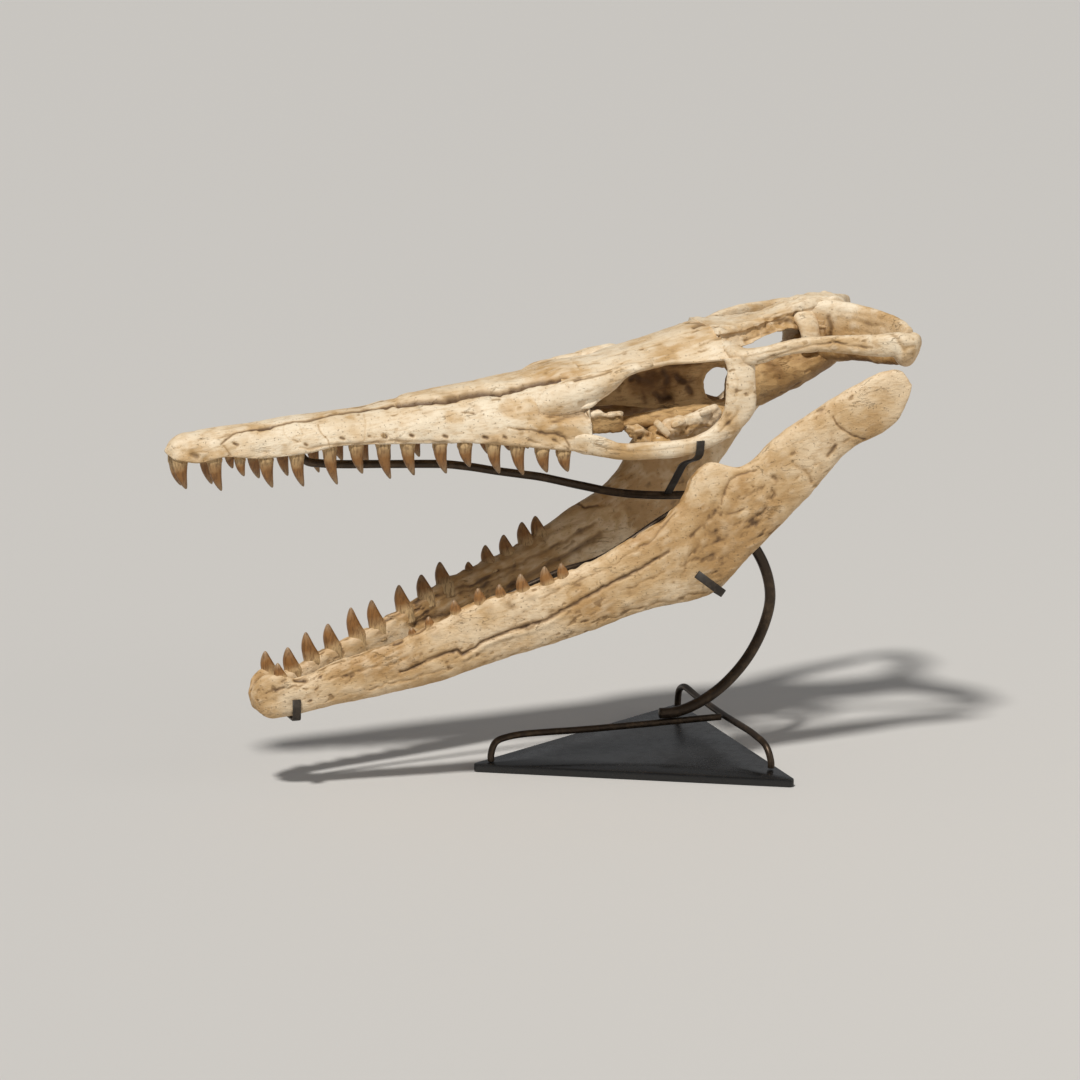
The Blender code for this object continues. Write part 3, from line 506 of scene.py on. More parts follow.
class Tree:
    """Short hand for a material's or a group's node tree."""

    def __init__(self, tree: bpy.types.NodeTree) -> None:
        """Keep the tree."""
        self.tree = tree

    @classmethod
    def of_material(cls, name: str) -> tuple["Tree", bpy.types.Material, object, Socket]:
        """Make a material.

        Args:
            name: Its name.

        Returns:
            Its tree, the material, its shader's inputs and the Object coordinates.
        """
        material = bpy.data.materials.new(name)
        material.use_nodes = True
        t = cls(material.node_tree)
        place = t.node("ShaderNodeTexCoord").outputs["Object"]
        return t, material, t.tree.nodes["Principled BSDF"].inputs, place

    def bump(self, height: Socket, strength: float, distance: float) -> None:
        """Raise the shader's normal by a height."""
        node = self.node("ShaderNodeBump")
        node.inputs["Strength"].default_value = strength
        node.inputs["Distance"].default_value = distance
        self.link(height, node.inputs["Height"])
        self.link(node.outputs[0], self.tree.nodes["Principled BSDF"].inputs["Normal"])

    def node(self, kind: str, **settings: object) -> bpy.types.Node:
        """Add a node; a setting named in_N is the value of its input N."""
        node = self.tree.nodes.new(kind)
        for key, value in settings.items():
            if key.startswith("in_"):
                node.inputs[int(key[3:])].default_value = value
            else:
                setattr(node, key, value)
        return node

    def link(self, source: Socket, target: Socket) -> None:
        """Join two sockets."""
        self.tree.links.new(source, target)

    def math(self, kind: str, a: object, b: object = None, clamp: bool = False) -> Socket:
        """Combine two numbers or sockets with a math node."""
        node = self.node("ShaderNodeMath", operation=kind, use_clamp=clamp)
        for place, value in enumerate((a, b)):
            if isinstance(value, Socket):
                self.link(value, node.inputs[place])
            elif value is not None:
                node.inputs[place].default_value = value
        return node.outputs[0]

    def mix(self, share: object, a: object, b: object) -> Socket:
        """Mix two colours by a share."""
        node = self.node("ShaderNodeMix", data_type="RGBA")
        for place, value in ((0, share), (6, a), (7, b)):
            if isinstance(value, Socket):
                self.link(value, node.inputs[place])
            elif place:
                node.inputs[place].default_value = (*value, 1.0)
            else:
                node.inputs[place].default_value = value
        return node.outputs[2]

    def span(self, value: Socket, low: float, high: float, to_low: float = 0.0,
             to_high: float = 1.0) -> Socket:
        """Map a range of numbers to another, held at its ends."""
        node = self.node("ShaderNodeMapRange", in_1=low, in_2=high, in_3=to_low, in_4=to_high)
        self.link(value, node.inputs[0])
        return node.outputs[0]

    def noise(self, vector: Socket, scale: float, detail: float = 3.0,
              rough: float = 0.55) -> Socket:
        """Read a noise of a scale at a vector."""
        node = self.node("ShaderNodeTexNoise")
        node.inputs["Scale"].default_value = scale
        node.inputs["Detail"].default_value = detail
        node.inputs["Roughness"].default_value = rough
        self.link(vector, node.inputs["Vector"])
        return node.outputs["Fac"]

    def attribute(self, name: str) -> Socket:
        """Read a field of the mesh."""
        return self.node("ShaderNodeAttribute", attribute_name=name).outputs["Fac"]


def bone_group() -> bpy.types.NodeTree:
    """Build the grain that every bone finish shares: mottle, fibre, hairline cracks and pores."""
    group = bpy.data.node_groups.new("fossil_grain", "ShaderNodeTree")
    group.interface.new_socket("Vector", in_out="INPUT", socket_type="NodeSocketVector")
    for name in ("Mottle", "Fibre", "Cracks", "Pores"):
        group.interface.new_socket(name, in_out="OUTPUT", socket_type="NodeSocketFloat")
    t = Tree(group)
    source = t.node("NodeGroupInput").outputs[0]
    sink = t.node("NodeGroupOutput")
    t.link(t.noise(source, 42.0, 5.0, 0.6), sink.inputs[0])
    stretch = t.node("ShaderNodeMapping", vector_type="POINT")
    stretch.inputs["Rotation"].default_value = (0.0, math.radians(14), 0.0)
    stretch.inputs["Scale"].default_value = (0.22, 1.0, 1.0)
    t.link(source, stretch.inputs["Vector"])
    t.link(t.noise(stretch.outputs[0], 520.0, 4.0, 0.65), sink.inputs[1])
    veins = t.noise(stretch.outputs[0], 95.0, 5.0, 0.6)
    line = t.span(t.math("ABSOLUTE", t.math("SUBTRACT", veins, 0.5)), 0.0, 0.011, 1.0, 0.0)
    mask = t.span(t.noise(source, 34.0, 3.0), 0.55, 0.66)
    t.link(t.math("MULTIPLY", line, mask), sink.inputs[2])
    t.link(t.span(t.noise(source, 620.0, 2.0, 0.5), 0.64, 0.74), sink.inputs[3])
    return group


@dataclass(frozen=True)
class BoneFinish:
    """Cream to ochre fossil bone: pale with wear on the swells and as a painted highlight on faces turned up,
    ochre as painted shade on faces turned down, brown in cracks and pits.
    """

    name: str
    pale: Triple = (0.82, 0.70, 0.525)
    mid: Triple = (0.69, 0.515, 0.315)
    stain: Triple = (0.50, 0.31, 0.130)
    dirt_and_shade: Triple = (0.105, 0.052, 0.018)
    gloss: float = 0.52
    bump: float = 0.9

    def make(self, grain: bpy.types.NodeTree) -> bpy.types.Material:
        """Build the material from the shared grain and the mesh's fields."""
        t, material, shader, place = Tree.of_material(self.name)
        group = t.node("ShaderNodeGroup", node_tree=grain)
        t.link(place, group.inputs[0])
        mottle, fibre, cracks, pores = group.outputs
        stain, dirt_and_shade, wear_and_top_highlight = (t.attribute(name) for name in ("stain", "dirt_and_shade", "wear_and_top_highlight"))
        # The stain field holds stains and also painted shade on faces turned down; warm carries both into the
        # ochre mix.
        warm = t.math("ADD", t.math("MULTIPLY", stain, 0.75), t.math("MULTIPLY", mottle, 0.75))
        colour = t.mix(t.span(warm, 0.56, 0.88), self.pale, self.mid)
        colour = t.mix(t.span(warm, 0.84, 1.12, 0.0, 0.9), colour, self.stain)
        colour = t.mix(t.span(fibre, 0.50, 0.64, 0.0, 0.42), colour, self.stain)
        # Mix towards pale by the pale field: wear on the swells, and a painted highlight on faces turned up.
        colour = t.mix(t.math("MULTIPLY", wear_and_top_highlight, 0.55, True), colour, self.pale)
        colour = t.mix(t.math("MULTIPLY", pores, 0.45, True), colour, self.dirt_and_shade)
        colour = t.mix(t.math("MULTIPLY", cracks, 0.42, True), colour, self.stain)
        # The dark field: grime in cracks and pits, and painted shadow in the snout's grooves under the
        # prefrontal.
        colour = t.mix(t.span(dirt_and_shade, 0.06, 0.55, 0.0, 0.62), colour, self.stain)
        colour = t.mix(t.span(dirt_and_shade, 0.35, 1.0, 0.0, 0.94), colour, self.dirt_and_shade)
        t.link(colour, shader["Base Color"])
        t.link(t.span(mottle, 0.3, 0.7, self.gloss - 0.07, self.gloss + 0.14), shader["Roughness"])
        height = t.math("SUBTRACT", t.math("MULTIPLY", fibre, 0.55), t.math("MULTIPLY", cracks, 0.9))
        height = t.math("SUBTRACT", height, t.math("MULTIPLY", pores, 0.45))
        height = t.math("ADD", height, t.math("MULTIPLY", t.noise(place, 900.0, 3.0, 0.6), 0.35))
        t.bump(height, self.bump, 0.8 * MM)
        return material


@dataclass(frozen=True)
class ToothFinish:
    """Amber enamel, tan at the root, grey-brown at the tip."""

    name: str = "tooth_enamel"
    root: Triple = (0.56, 0.385, 0.195)
    amber: Triple = (0.285, 0.135, 0.042)
    tip: Triple = (0.36, 0.265, 0.165)

    def make(self) -> bpy.types.Material:
        """Build the material: colour by the height field, streaked along the crown."""
        t, material, shader, place = Tree.of_material(self.name)
        height = t.attribute("crown")
        streak = t.node("ShaderNodeMapping")
        streak.inputs["Scale"].default_value = (1.0, 1.0, 0.22)
        t.link(place, streak.inputs["Vector"])
        lines = t.noise(streak.outputs[0], 700.0, 4.0, 0.6)
        patch = t.noise(place, 75.0, 3.0)
        shown = t.math("ADD", height, t.math("MULTIPLY", t.math("SUBTRACT", patch, 0.5), 0.55))
        colour = t.mix(t.span(shown, -0.06, 0.34), self.root, self.amber)
        colour = t.mix(t.span(shown, 0.58, 1.02, 0.0, 0.8), colour, self.tip)
        colour = t.mix(t.span(lines, 0.47, 0.62, 0.0, 0.60), colour, (0.12, 0.055, 0.02))
        t.link(colour, shader["Base Color"])
        t.link(t.span(shown, 0.2, 0.6, 0.55, 0.38), shader["Roughness"])
        shader["Specular IOR Level"].default_value = 0.35
        t.bump(lines, 0.35, 0.4 * MM)
        return material


@dataclass(frozen=True)
class MetalFinish:
    """Painted or patinated metal with rubbed spots."""

    name: str
    base: Triple
    rubbed: Triple
    metallic: float
    rough: float
    scale: float = 120.0

    def make(self) -> bpy.types.Material:
        """Build the material: two tones blended by noise, with fine scratches in the bump."""
        t, material, shader, place = Tree.of_material(self.name)
        shader["Metallic"].default_value = self.metallic
        broad = t.noise(place, self.scale, 5.0, 0.65)
        fine = t.noise(place, self.scale * 9, 3.0, 0.6)
        t.link(t.mix(t.span(broad, 0.48, 0.72), self.base, self.rubbed), shader["Base Color"])
        mixed = t.math("ADD", t.math("MULTIPLY", broad, 0.6), t.math("MULTIPLY", fine, 0.4))
        t.link(t.span(mixed, 0.35, 0.65, self.rough - 0.08, self.rough + 0.12), shader["Roughness"])
        t.bump(fine, 0.25, 0.2 * MM)
        return material


@dataclass
class Finishes:
    """Every finish of the piece, made once."""

    def __post_init__(self) -> None:
        """Make the materials."""
        grain = bone_group()
        self.skull = BoneFinish("skull_bone_finish").make(grain)
        self.inner = BoneFinish("inner_bone_finish", pale=(0.56, 0.365, 0.165), mid=(0.36, 0.205, 0.070),
                                stain=(0.14, 0.062, 0.012), gloss=0.60).make(grain)
        self.jaw = BoneFinish("jaw_bone_finish", pale=(0.75, 0.59, 0.395), mid=(0.61, 0.42, 0.220),
                              stain=(0.43, 0.25, 0.095), bump=1.0).make(grain)
        self.tooth = ToothFinish().make()
        self.rod = MetalFinish("bronze_rod_finish", (0.052, 0.036, 0.024), (0.115, 0.078, 0.048),
                               0.70, 0.38).make()
        self.clip = MetalFinish("clip_finish", (0.024, 0.018, 0.013), (0.062, 0.046, 0.032),
                                0.25, 0.50).make()
        self.base = MetalFinish("base_finish", (0.0055, 0.0053, 0.0052), (0.011, 0.0105, 0.010),
                                0.0, 0.24, 18.0).make()


@dataclass
class Snout:
    """The snout's shell with both maxillae and the palate, hollowed behind for the eye sockets."""

    top_line: Line = mm((-362, 254.5), (-358, 259), (-351, 263), (-340, 265), (-307, 268), (-263, 271),
        (-219, 274), (-174, 281.5), (-129, 287), (-95, 292), (-73, 298), (-38, 301.5), (-16, 306.5),
        (7, 313), (30, 319), (65, 321.5), (88, 325.5), (112, 333.5), (123, 335.5), (139, 334), (150, 330))
    lip_line: Line = mm((-362, 250), (-358, 247.5), (-340, 245), (-325, 248), (-297, 246), (-270, 248),
        (-241, 253), (-213, 252.5), (-170, 251.5), (-120, 248), (-94, 244), (-62, 240))
    half_line: Line = mm((-362, 4), (-358, 8), (-350, 12), (-335, 15.5), (-300, 20), (-250, 26),
        (-200, 31.5), (-150, 37.5), (-100, 45), (-62, 50))
    fold: Line = ((0.0002, 0.985), (0.0012, 0.945), (0.004, 0.90), (0.008, 0.84), (0.012, 0.74),
        (0.015, 0.58), (0.017, 0.38), (0.018, 0.16))
    tip_x: float = -0.3622
    rear_x: float = -0.0617
    lip_width: float = 0.011
    vault: float = 0.006
    dome: float = 0.85
    rows: int = 400
    arch: int = 150
    floor: int = 50
    furrows: tuple[Furrow, ...] = (
        Furrow(((398, 404), (430, 401), (445, 400), (468, 393), (482, 391), (500, 393), (520, 387),
               (540, 381), (566, 379)), 2.8, 3.4, 1, 0.9),
        Furrow(((452, 399), (470, 395), (486, 393), (500, 394)), 3, 1.2, 1, 0.8),
        Furrow(((398, 398), (440, 394), (480, 384), (505, 384), (540, 372), (566, 369)), 3.5, -0.7, 0),
        Furrow(((222, 444), (226, 439), (233, 434), (248, 430), (262, 428), (280, 425), (310, 420),
               (350, 412), (394, 405)), 1.3, 0.7, 0.85), Furrow(((259, 429), (270, 427)), 1.8, 1.2, 1, 0.4),
        Furrow(((224, 446), (230, 455)), 1.4, 0.6, 0.6),
        Furrow(((284, 424), (283, 432), (290, 440), (299, 441), (303, 434), (299, 424)), 1, 0.3, 0.28),
        Furrow(((318, 425), (322, 434), (328, 441), (330, 448)), 1, 0.4, 0.55),
        Furrow(((364, 413), (366, 428), (365, 440)), 0.9, 0.25, 0.4),
        Furrow(((193, 455), (197, 457)), 3.2, 1.6, 0.8, 0.4),
        Furrow(((234, 443), (238, 445)), 1.6, 0.9, 0.9, 0.3),
        Furrow(((305, 444), (307, 445)), 1.7, 1.1, 0.9, 0.3),
        Furrow(((341, 438), (344, 439)), 1.7, 1.1, 0.9, 0.3),
        Furrow(((369, 436), (370, 436)), 1.5, 0.9, 0.8, 0.3),
        Furrow(((384, 436), (386, 437)), 2, 1.4, 1, 0.3),
        Furrow(((411, 435), (413, 436)), 1.8, 1.2, 0.95, 0.3),
        Furrow(((444, 436), (447, 437)), 1.9, 1.3, 0.95, 0.3),
        Furrow(((484, 437), (487, 438)), 1.8, 1.2, 0.95, 0.3),
        Furrow(((504, 437), (506, 438)), 1.7, 1.1, 0.95, 0.3),
        Furrow(((462, 412), (474, 413)), 1, 0.4, 0.6, 0.4),
        Furrow(((492, 400), (500, 399)), 1.2, 0.6, 0.7, 0.4),
        Furrow(((300, 448), (340, 445), (387, 441), (431, 442), (487, 444), (519, 446), (545, 449),
               (568, 455)), 1.7, 0.8, 0.5, 1.6),
        Furrow(((330, 449), (387, 446), (431, 447), (487, 449), (530, 452)), 2.2, -0.5, 0),
        Furrow(((508, 428), (522, 430), (545, 433), (566, 437), (588, 435)), 1.3, 0.8, 0.8, 1.8),
        # Painted shadow: these two grooves lie under the prefrontal's overhang, and their dark fill paints
        # its shade; the cut itself is real.
        Furrow(((545, 411), (562, 415), (578, 414), (592, 411)), 6.5, 3.6, 0.6),
        Furrow(((540, 404), (556, 409), (574, 409), (590, 405)), 2.4, 0.9, 0.55),
        Furrow(((566, 438), (569, 446), (565, 455)), 1.5, 0.9, 0.8),
        Furrow(((553, 440), (566, 447)), 1.2, 0.5, 0.6),
        Furrow(((528, 440), (545, 444), (560, 452)), 1.3, 0.6, 0.6),
        Furrow(((515, 418), (545, 421), (585, 424)), 1.2, 0.3, 0.35))
    patches: tuple[Patch, ...] = (Patch((519, 408), (24, 14), 0.8, 0.45),
        Patch((560, 428), (34, 16), 1.2, 0.35), Patch((455, 417), (14, 8), 0, 0.35),
        Patch((215, 440), (30, 16), 0.2, 0.2), Patch((200, 452), (14, 10), 0.6, 0.3),
        Patch((430, 452), (140, 6), 0.6, 0.25), Patch((556, 374), (26, 10), 0.9, 0.4))

    def __post_init__(self) -> None:
        """Turn the lines into functions of x."""
        lines = (self.top_line, self.lip_line, self.half_line)
        self.top, self.lip, self.half = (profile(line) for line in lines)

    def grid(self) -> Array:
        """Carry the section along x.

        The outer half is half width times minus cosine, and lip plus height times sine to the
        power dome; the palate is a shallow vault between the lips. The tip closes like a ball, and
        the rear folds in as shrinking sections that run forward.
        """
        x = np.concatenate([np.linspace(self.tip_x, -0.350, 26),
                            np.linspace(-0.3493, self.rear_x, self.rows)])
        top, lip, half = self.top(x), self.lip(x), self.half(x)
        theta = np.linspace(0, np.pi, self.arch)
        share = np.sin(theta)**self.dome
        y = -half[:, None] * np.cos(theta)
        z = lip[:, None] + (top - lip)[:, None] * share
        inner = half - np.minimum(self.lip_width, 0.45 * half)
        across = np.linspace(1.0, -1.0, self.floor)
        y_floor = inner[:, None] * across
        rise = np.minimum(self.vault, 0.25 * (top - lip))[:, None]
        z_floor = lip[:, None] + 0.0006 + rise * (1 - across**2)**0.7
        y, z = np.hstack([y, y_floor]), np.hstack([z, z_floor])
        middle = (0.5 * (top + lip))[:, None]
        grow = np.sqrt(1 - (1 - np.clip((x - self.tip_x) / 0.0055, 0.02, 1))**2)[:, None]
        y, z = y * grow, middle + (z - middle) * grow
        grid = np.stack([np.repeat(x[:, None], y.shape[1], 1), y, z], axis=-1)
        last = grid[-1]
        centre = np.array([0, middle[-1, 0] + 0.002])
        hollow = [np.column_stack([last[:, 0] - run, (last[:, 1:] - centre) * size + centre])
                  for run, size in self.fold]
        return np.concatenate([grid, np.array(hollow)])

    def build(self, finishes: Finishes, sockets: tuple[Furrow, ...]) -> None:
        """Carve the shell and dress it."""
        carver = Carver(Weather(swell=0.55, pitch=7.0), self.furrows + sockets, self.patches)
        Shell().add(*carver.carve(self.grid())).build(
            "snout_shell", finishes.skull, "skull_bone", "premaxilla", "maxilla_left", "maxilla_right",
            "palate")


@dataclass
class Roof:
    """Frontal and both prefrontals: the roof over the eye sockets with its brow rims."""

    snout: Snout
    rim: Line = mm((-78, 42, 276), (-61.7, 44, 273.3), (-54, 41, 277.5), (-44, 38.5, 282.5),
        (-37, 37.8, 289), (-31, 37.8, 294), (-22, 37.5, 296.8), (-11, 37.5, 298.5), (1, 38.5, 300),
        (12, 40, 300), (22, 42.5, 300), (34, 46.5, 301), (44, 49.5, 302))
    thick: Line = mm((-78, 9), (-40, 8.5), (-10, 6.2), (44, 6))
    brow: Line = mm((-100, 30, 270, 6, 8), (-86, 33.5, 274.5, 7.6, 11.2), (-72, 35.2, 279, 8.8, 13.2),
        (-56, 36.2, 285.2, 8.4, 9.6), (-44, 36.2, 289.5, 7.2, 7), (-34, 36.2, 294.5, 5.8, 4.4),
        (-12, 36.6, 299.5, 4, 2.6))
    front_x: float = -0.076
    rear_x: float = 0.0432
    rows: int = 220
    cols: int = 120
    furrows: tuple[Furrow, ...] = (
        Furrow(((694, 327), (700, 323), (712, 321), (724, 319), (737, 317)), 3, 1.6, 0.75, 0.8),
        Furrow(((690, 329), (712, 327), (730, 323)), 1.8, -0.6, 0),
        Furrow(((575, 381), (592, 377), (611, 372)), 1.4, 0.8, 0.7),
        Furrow(((558, 373), (580, 366), (600, 363)), 1.2, 0.4, 0.5),
        Furrow(((566, 360), (600, 352), (640, 340)), 1.2, 0.25, 0.3),
        Furrow(((640, 350), (680, 338), (705, 336)), 1.2, 0.25, 0.3),
        Furrow(((700, 345), (722, 338), (745, 330)), 1.4, 0.5, 0.5),
        Furrow(((616, 388), (622, 380), (628, 374), (640, 369), (660, 364)), 2.4, -0.6, 0))
    patches: tuple[Patch, ...] = (Patch((570, 372), (26, 12), 0.9, 0.35),
        Patch((715, 335), (24, 12), 0.3, 0.3))

    def grid(self) -> Array:
        """Carry the section along x: a dome that droops to the rim, and the same less the thickness.

        The droop blends from the snout's own dome into a power of the distance from the mid-line,
        and the thickness falls to nothing at the rim as a root, which rounds the edge.
        """
        x = np.linspace(self.front_x, self.rear_x, self.rows)
        half = profile([(r[0], r[1]) for r in self.rim])(x)
        low = profile([(r[0], r[2]) for r in self.rim])(x)
        thick = profile(self.thick)(x)
        under = 0.0022 * smooth(-x, 0.0620, 0.0740)
        half, top = half - under, self.snout.top(x) - under
        s = np.sin(np.linspace(-np.pi / 2, np.pi / 2, self.cols))
        y = half[:, None] * s
        snout_half = self.snout.half(np.minimum(x, self.snout.rear_x))[:, None]
        dome = 1 - np.clip(1 - (y / snout_half)**2, 0.02, 1)**(0.5 * self.snout.dome)
        dome /= dome[:, -1:]
        blend = smooth(x, -0.064, -0.030)[:, None]
        droop = dome * (1 - blend) + np.abs(s)**2.1 * blend
        z = top[:, None] - (top - low + under)[:, None] * droop
        deep = thick[:, None] * (1 - np.abs(s)**6)**0.5 + 0.0004
        y, z = np.hstack([y, y[:, ::-1]]), np.hstack([z, (z - deep)[:, ::-1]])
        return np.stack([np.repeat(x[:, None], y.shape[1], 1), y, z], axis=-1)

    def build(self, finishes: Finishes) -> None:
        """Carve the roof and dress it."""
        carver = Carver(Weather(swell=0.45, pitch=14.0), self.furrows, self.patches)
        shell = Shell().add(*carver.carve(self.grid()))
        for s, _ in SIDES:
            shell.add(*carver.carve(sweep(mirrored(self.brow, s), 150, 90, blunt=0.006)))
        shell.build("skull_roof", finishes.skull, "skull_bone", "frontal", "prefrontal_left",
                    "prefrontal_right")


@dataclass
class RearSkull:
    """Parietal with its rear arms, the braincase, and the arcades and cheeks of both sides."""

    snout: Snout
    parietal_half: Line = mm((40, 31), (55, 24), (75, 17), (100, 13.5), (150, 11))
    depth: Line = mm((42, 12), (56, 15.6), (66, 16.5), (78, 14.2), (92, 14), (103, 16.5), (112, 22),
        (150, 22))
    flank_strut: Line = mm((114, 2, 324, 6, 10), (115.5, 13.5, 318.5, 5, 8.6), (117, 18, 309, 4.6, 7.6),
        (118.5, 17, 298, 5, 9))
    section: Line = ((0, 0, 0, -0.4), (0.55, 0, 0, 0.2), (0.90, 0, 0.02, 1.6), (0.97, 0, 0.16, 1.6),
        (0.90, 0.2, 0.45, 0), (0.96, 1.6, 0.78, 0), (1, 3.6, 0.97, 0), (0.80, 3, 1, 0.3), (0.40, 1, 1, 0.6),
        (0, 0, 1, 0.6))
    arm: Line = mm((118, 4, 323.5, 6, 9), (130, 8.5, 320.5, 6.2, 12.5), (142, 16, 317.2, 5.8, 14.6),
        (158, 32, 313.5, 5.2, 14.9), (169, 48, 310.5, 4.7, 13.8), (173.5, 65, 308.5, 4.2, 10))
    braincase: Line = mm((62, 0, 278, 9, 22.8), (69, 0, 276.5, 13, 21.5), (80, 0, 276, 18, 20),
        (95, 0, 279.5, 20.5, 17.5), (110, 0, 283.5, 21.5, 14), (125, 0, 289.5, 20.5, 12.2),
        (134, 0, 293.5, 18, 11.8), (143, 0, 295.5, 12, 10.5), (153, 0, 294, 10, 9), (158, 0, 293, 6, 6))
    front_pillar: Line = mm((66.5, 0, 285, 9, 4), (66, 0, 296, 8.5, 4), (65, 0, 311, 10, 4.2))
    rear_pillar: Line = mm((127, 0, 290, 16, 8), (127, 0, 303, 14.5, 7.5), (127, 0, 319, 15, 8.5))
    wing: Line = mm((118, 6, 297, 7, 8), (140, 26, 297, 6, 6.5), (156, 45, 296, 6, 5),
        (166.5, 66, 296, 5, 4))
    postorbital: Line = mm((44, 30, 307.5, 6, 4.2), (48, 40, 305.5, 7.8, 4.6),
        (52.5, 50.5, 302.8, 8.2, 5.8), (64, 59, 305, 4.8, 5.6), (76.3, 64, 309.2, 3.8, 5.2),
        (94.3, 69, 312, 3.8, 5.6), (101.5, 71.4, 312.4, 3.7, 5.5))
    squamosal: Line = mm((98.5, 70.6, 312.4, 3.6, 5.3), (111, 74.2, 312.5, 3.9, 6),
        (120, 76.5, 312, 4, 6.6), (132, 80, 311.4, 4.3, 7.4), (145, 83.2, 311.2, 4.8, 8),
        (156, 85.5, 311.2, 5.5, 8.8), (165.5, 84.5, 307, 6.2, 12.5), (171, 77, 306.5, 6, 11.5),
        (173.5, 67.2, 309.5, 4.5, 7.5))
    jugal: Line = mm((-78, 43.5, 249, 3, 6), (-68, 46.5, 246.8, 3.6, 7.6), (-56, 49, 244, 3.7, 7.2),
        (-41.4, 51.5, 240.2, 3.6, 6), (-18.7, 53.7, 239.5, 3.8, 6), (0, 55.6, 240.2, 4, 6.1),
        (11.3, 56.7, 241.5, 4.1, 6), (27.3, 57.7, 247.8, 4.3, 6.2), (39, 58.2, 256.2, 4.5, 8.2),
        (47, 58.5, 269, 4.5, 11.4), (48, 57.5, 283, 4.3, 11.2), (48.8, 55, 294.5, 4.2, 10.4),
        (48.8, 52.5, 303.5, 4.5, 12.5))
    pterygoid: Line = mm((-65, 20, 251.5, 10, 4), (-40, 22, 253.5, 10, 4.5), (-10, 24, 255.5, 8.5, 5),
        (22, 25, 259, 7, 5.5), (42, 26.2, 258.5, 6.2, 5), (64, 29.5, 254, 3.5, 3.6))
    ridge: Line = mm((-32, 35.5, 254.5, 2.6, 2.6), (-26, 36.8, 251, 3.4, 5.6), (-19, 37, 246.5, 3.6, 5.4),
        (-9, 36.5, 244, 3.2, 4), (2, 37, 251, 4.6, 7.6), (11, 37.4, 253, 5.2, 7.2),
        (19, 36.8, 255.5, 4.4, 5.6), (29, 37, 258, 5.2, 7.2), (40, 35, 262, 3, 4.2))
    strut: Line = mm((-6, 24, 254, 7, 3.5), (-7, 38, 246, 6.5, 3.5), (-8, 50, 239.5, 7, 3.8))
    palatine: Line = mm((-64, 39.3, 258.5, 2.4, 6.2), (-50, 39.3, 258.5, 2.6, 6.8),
        (-34.5, 39.3, 258, 2.4, 6.4))
    shelf: Line = mm((-63, 40, 265.5, 3, 1.4), (-54, 40.5, 266.8, 3.4, 1.8), (-47, 40, 265, 3, 1.2),
        (-36, 40, 265.5, 3.2, 1.6))
    chips: Line = mm((-12.5, 44, 259, -2, 44.5, 247.5, 1.7), (-12, 44.5, 246, -6, 44.5, 244, 1.1),
        (0, 43, 254.5, 11, 43, 257.5, 1.3), (22, 42.5, 261.5, 32, 41.5, 263, 1.2))
    wall_foot: Line = mm((-64, 263), (-30, 264), (0, 260), (30, 256), (62, 256), (70, 270), (68, 290),
        (56, 302))
    wall_top: tuple[float, ...] = (0.040, 0.015, -0.015, -0.040, -0.064)
    wall_drop: float = 0.0085
    wall_half: float = 0.003
    hole: tuple[float, float] = (0.0520, 0.2735)
    hole_reach: tuple[float, float] = (0.0118, 0.0130)
    arm_furrows: tuple[Furrow, ...] = (Furrow(((838, 318), (860, 321), (884, 327)), 1.8, 0.6, 0.4),
        Furrow(((845, 331), (870, 333), (890, 338)), 1.5, 0.5, 0.4),
        Furrow(((828, 318), (831, 328), (830, 338)), 3, 1.6, 0.8),
        Furrow(((836, 312), (865, 315), (890, 321)), 1.4, 0.3, 0.3))
    flank_furrows: tuple[Furrow, ...] = (
        Furrow(((763, 329), (768, 320), (778, 312), (790, 309)), 3, 1, 0.45),
        Furrow(((797, 314), (803, 324), (802, 334)), 3.4, 1.5, 0.75),
        Furrow(((776, 322), (788, 319), (797, 322)), 2.6, 1.1, 0.6),
        Furrow(((770, 326), (778, 330), (788, 328)), 2.6, -1.2, 0),
        Furrow(((745, 340), (760, 334), (775, 330)), 1.4, 0.5, 0.5),
        Furrow(((834, 297), (841, 296)), 3.6, -1.7, 0, 0.3),
        Furrow(((828, 318), (831, 328), (830, 338)), 3, 1.8, 1))
    cheek_furrows: tuple[Furrow, ...] = (Furrow(((735, 386), (736, 388)), 2.2, -0.9, 0, 0.3),
        Furrow(((728, 421), (730, 424)), 2.4, -0.8, 0, 0.3),
        Furrow(((720, 430), (732, 420), (738, 410)), 1.4, 0.5, 0.55),
        Furrow(((600, 449), (640, 452), (680, 448)), 1.2, 0.3, 0.35),
        Furrow(((733, 366), (737, 380), (736, 400)), 1.2, 0.3, 0.25),
        Furrow(((595, 443), (612, 450)), 1.3, 0.5, 0.5))
    arcade_furrows: tuple[Furrow, ...] = (
        Furrow(((758, 362), (780, 354), (806, 346), (830, 343)), 1.6, 0.7, 0.55),
        Furrow(((745, 357), (770, 352), (800, 347)), 1.2, 0.4, 0.4),
        Furrow(((834, 342), (850, 346), (872, 348)), 1.4, 0.6, 0.6),
        Furrow(((885, 330), (897, 338), (905, 350)), 2.2, 0.9, 0.5),
        Furrow(((728, 345), (735, 352), (745, 357)), 1.6, -0.5, 0))

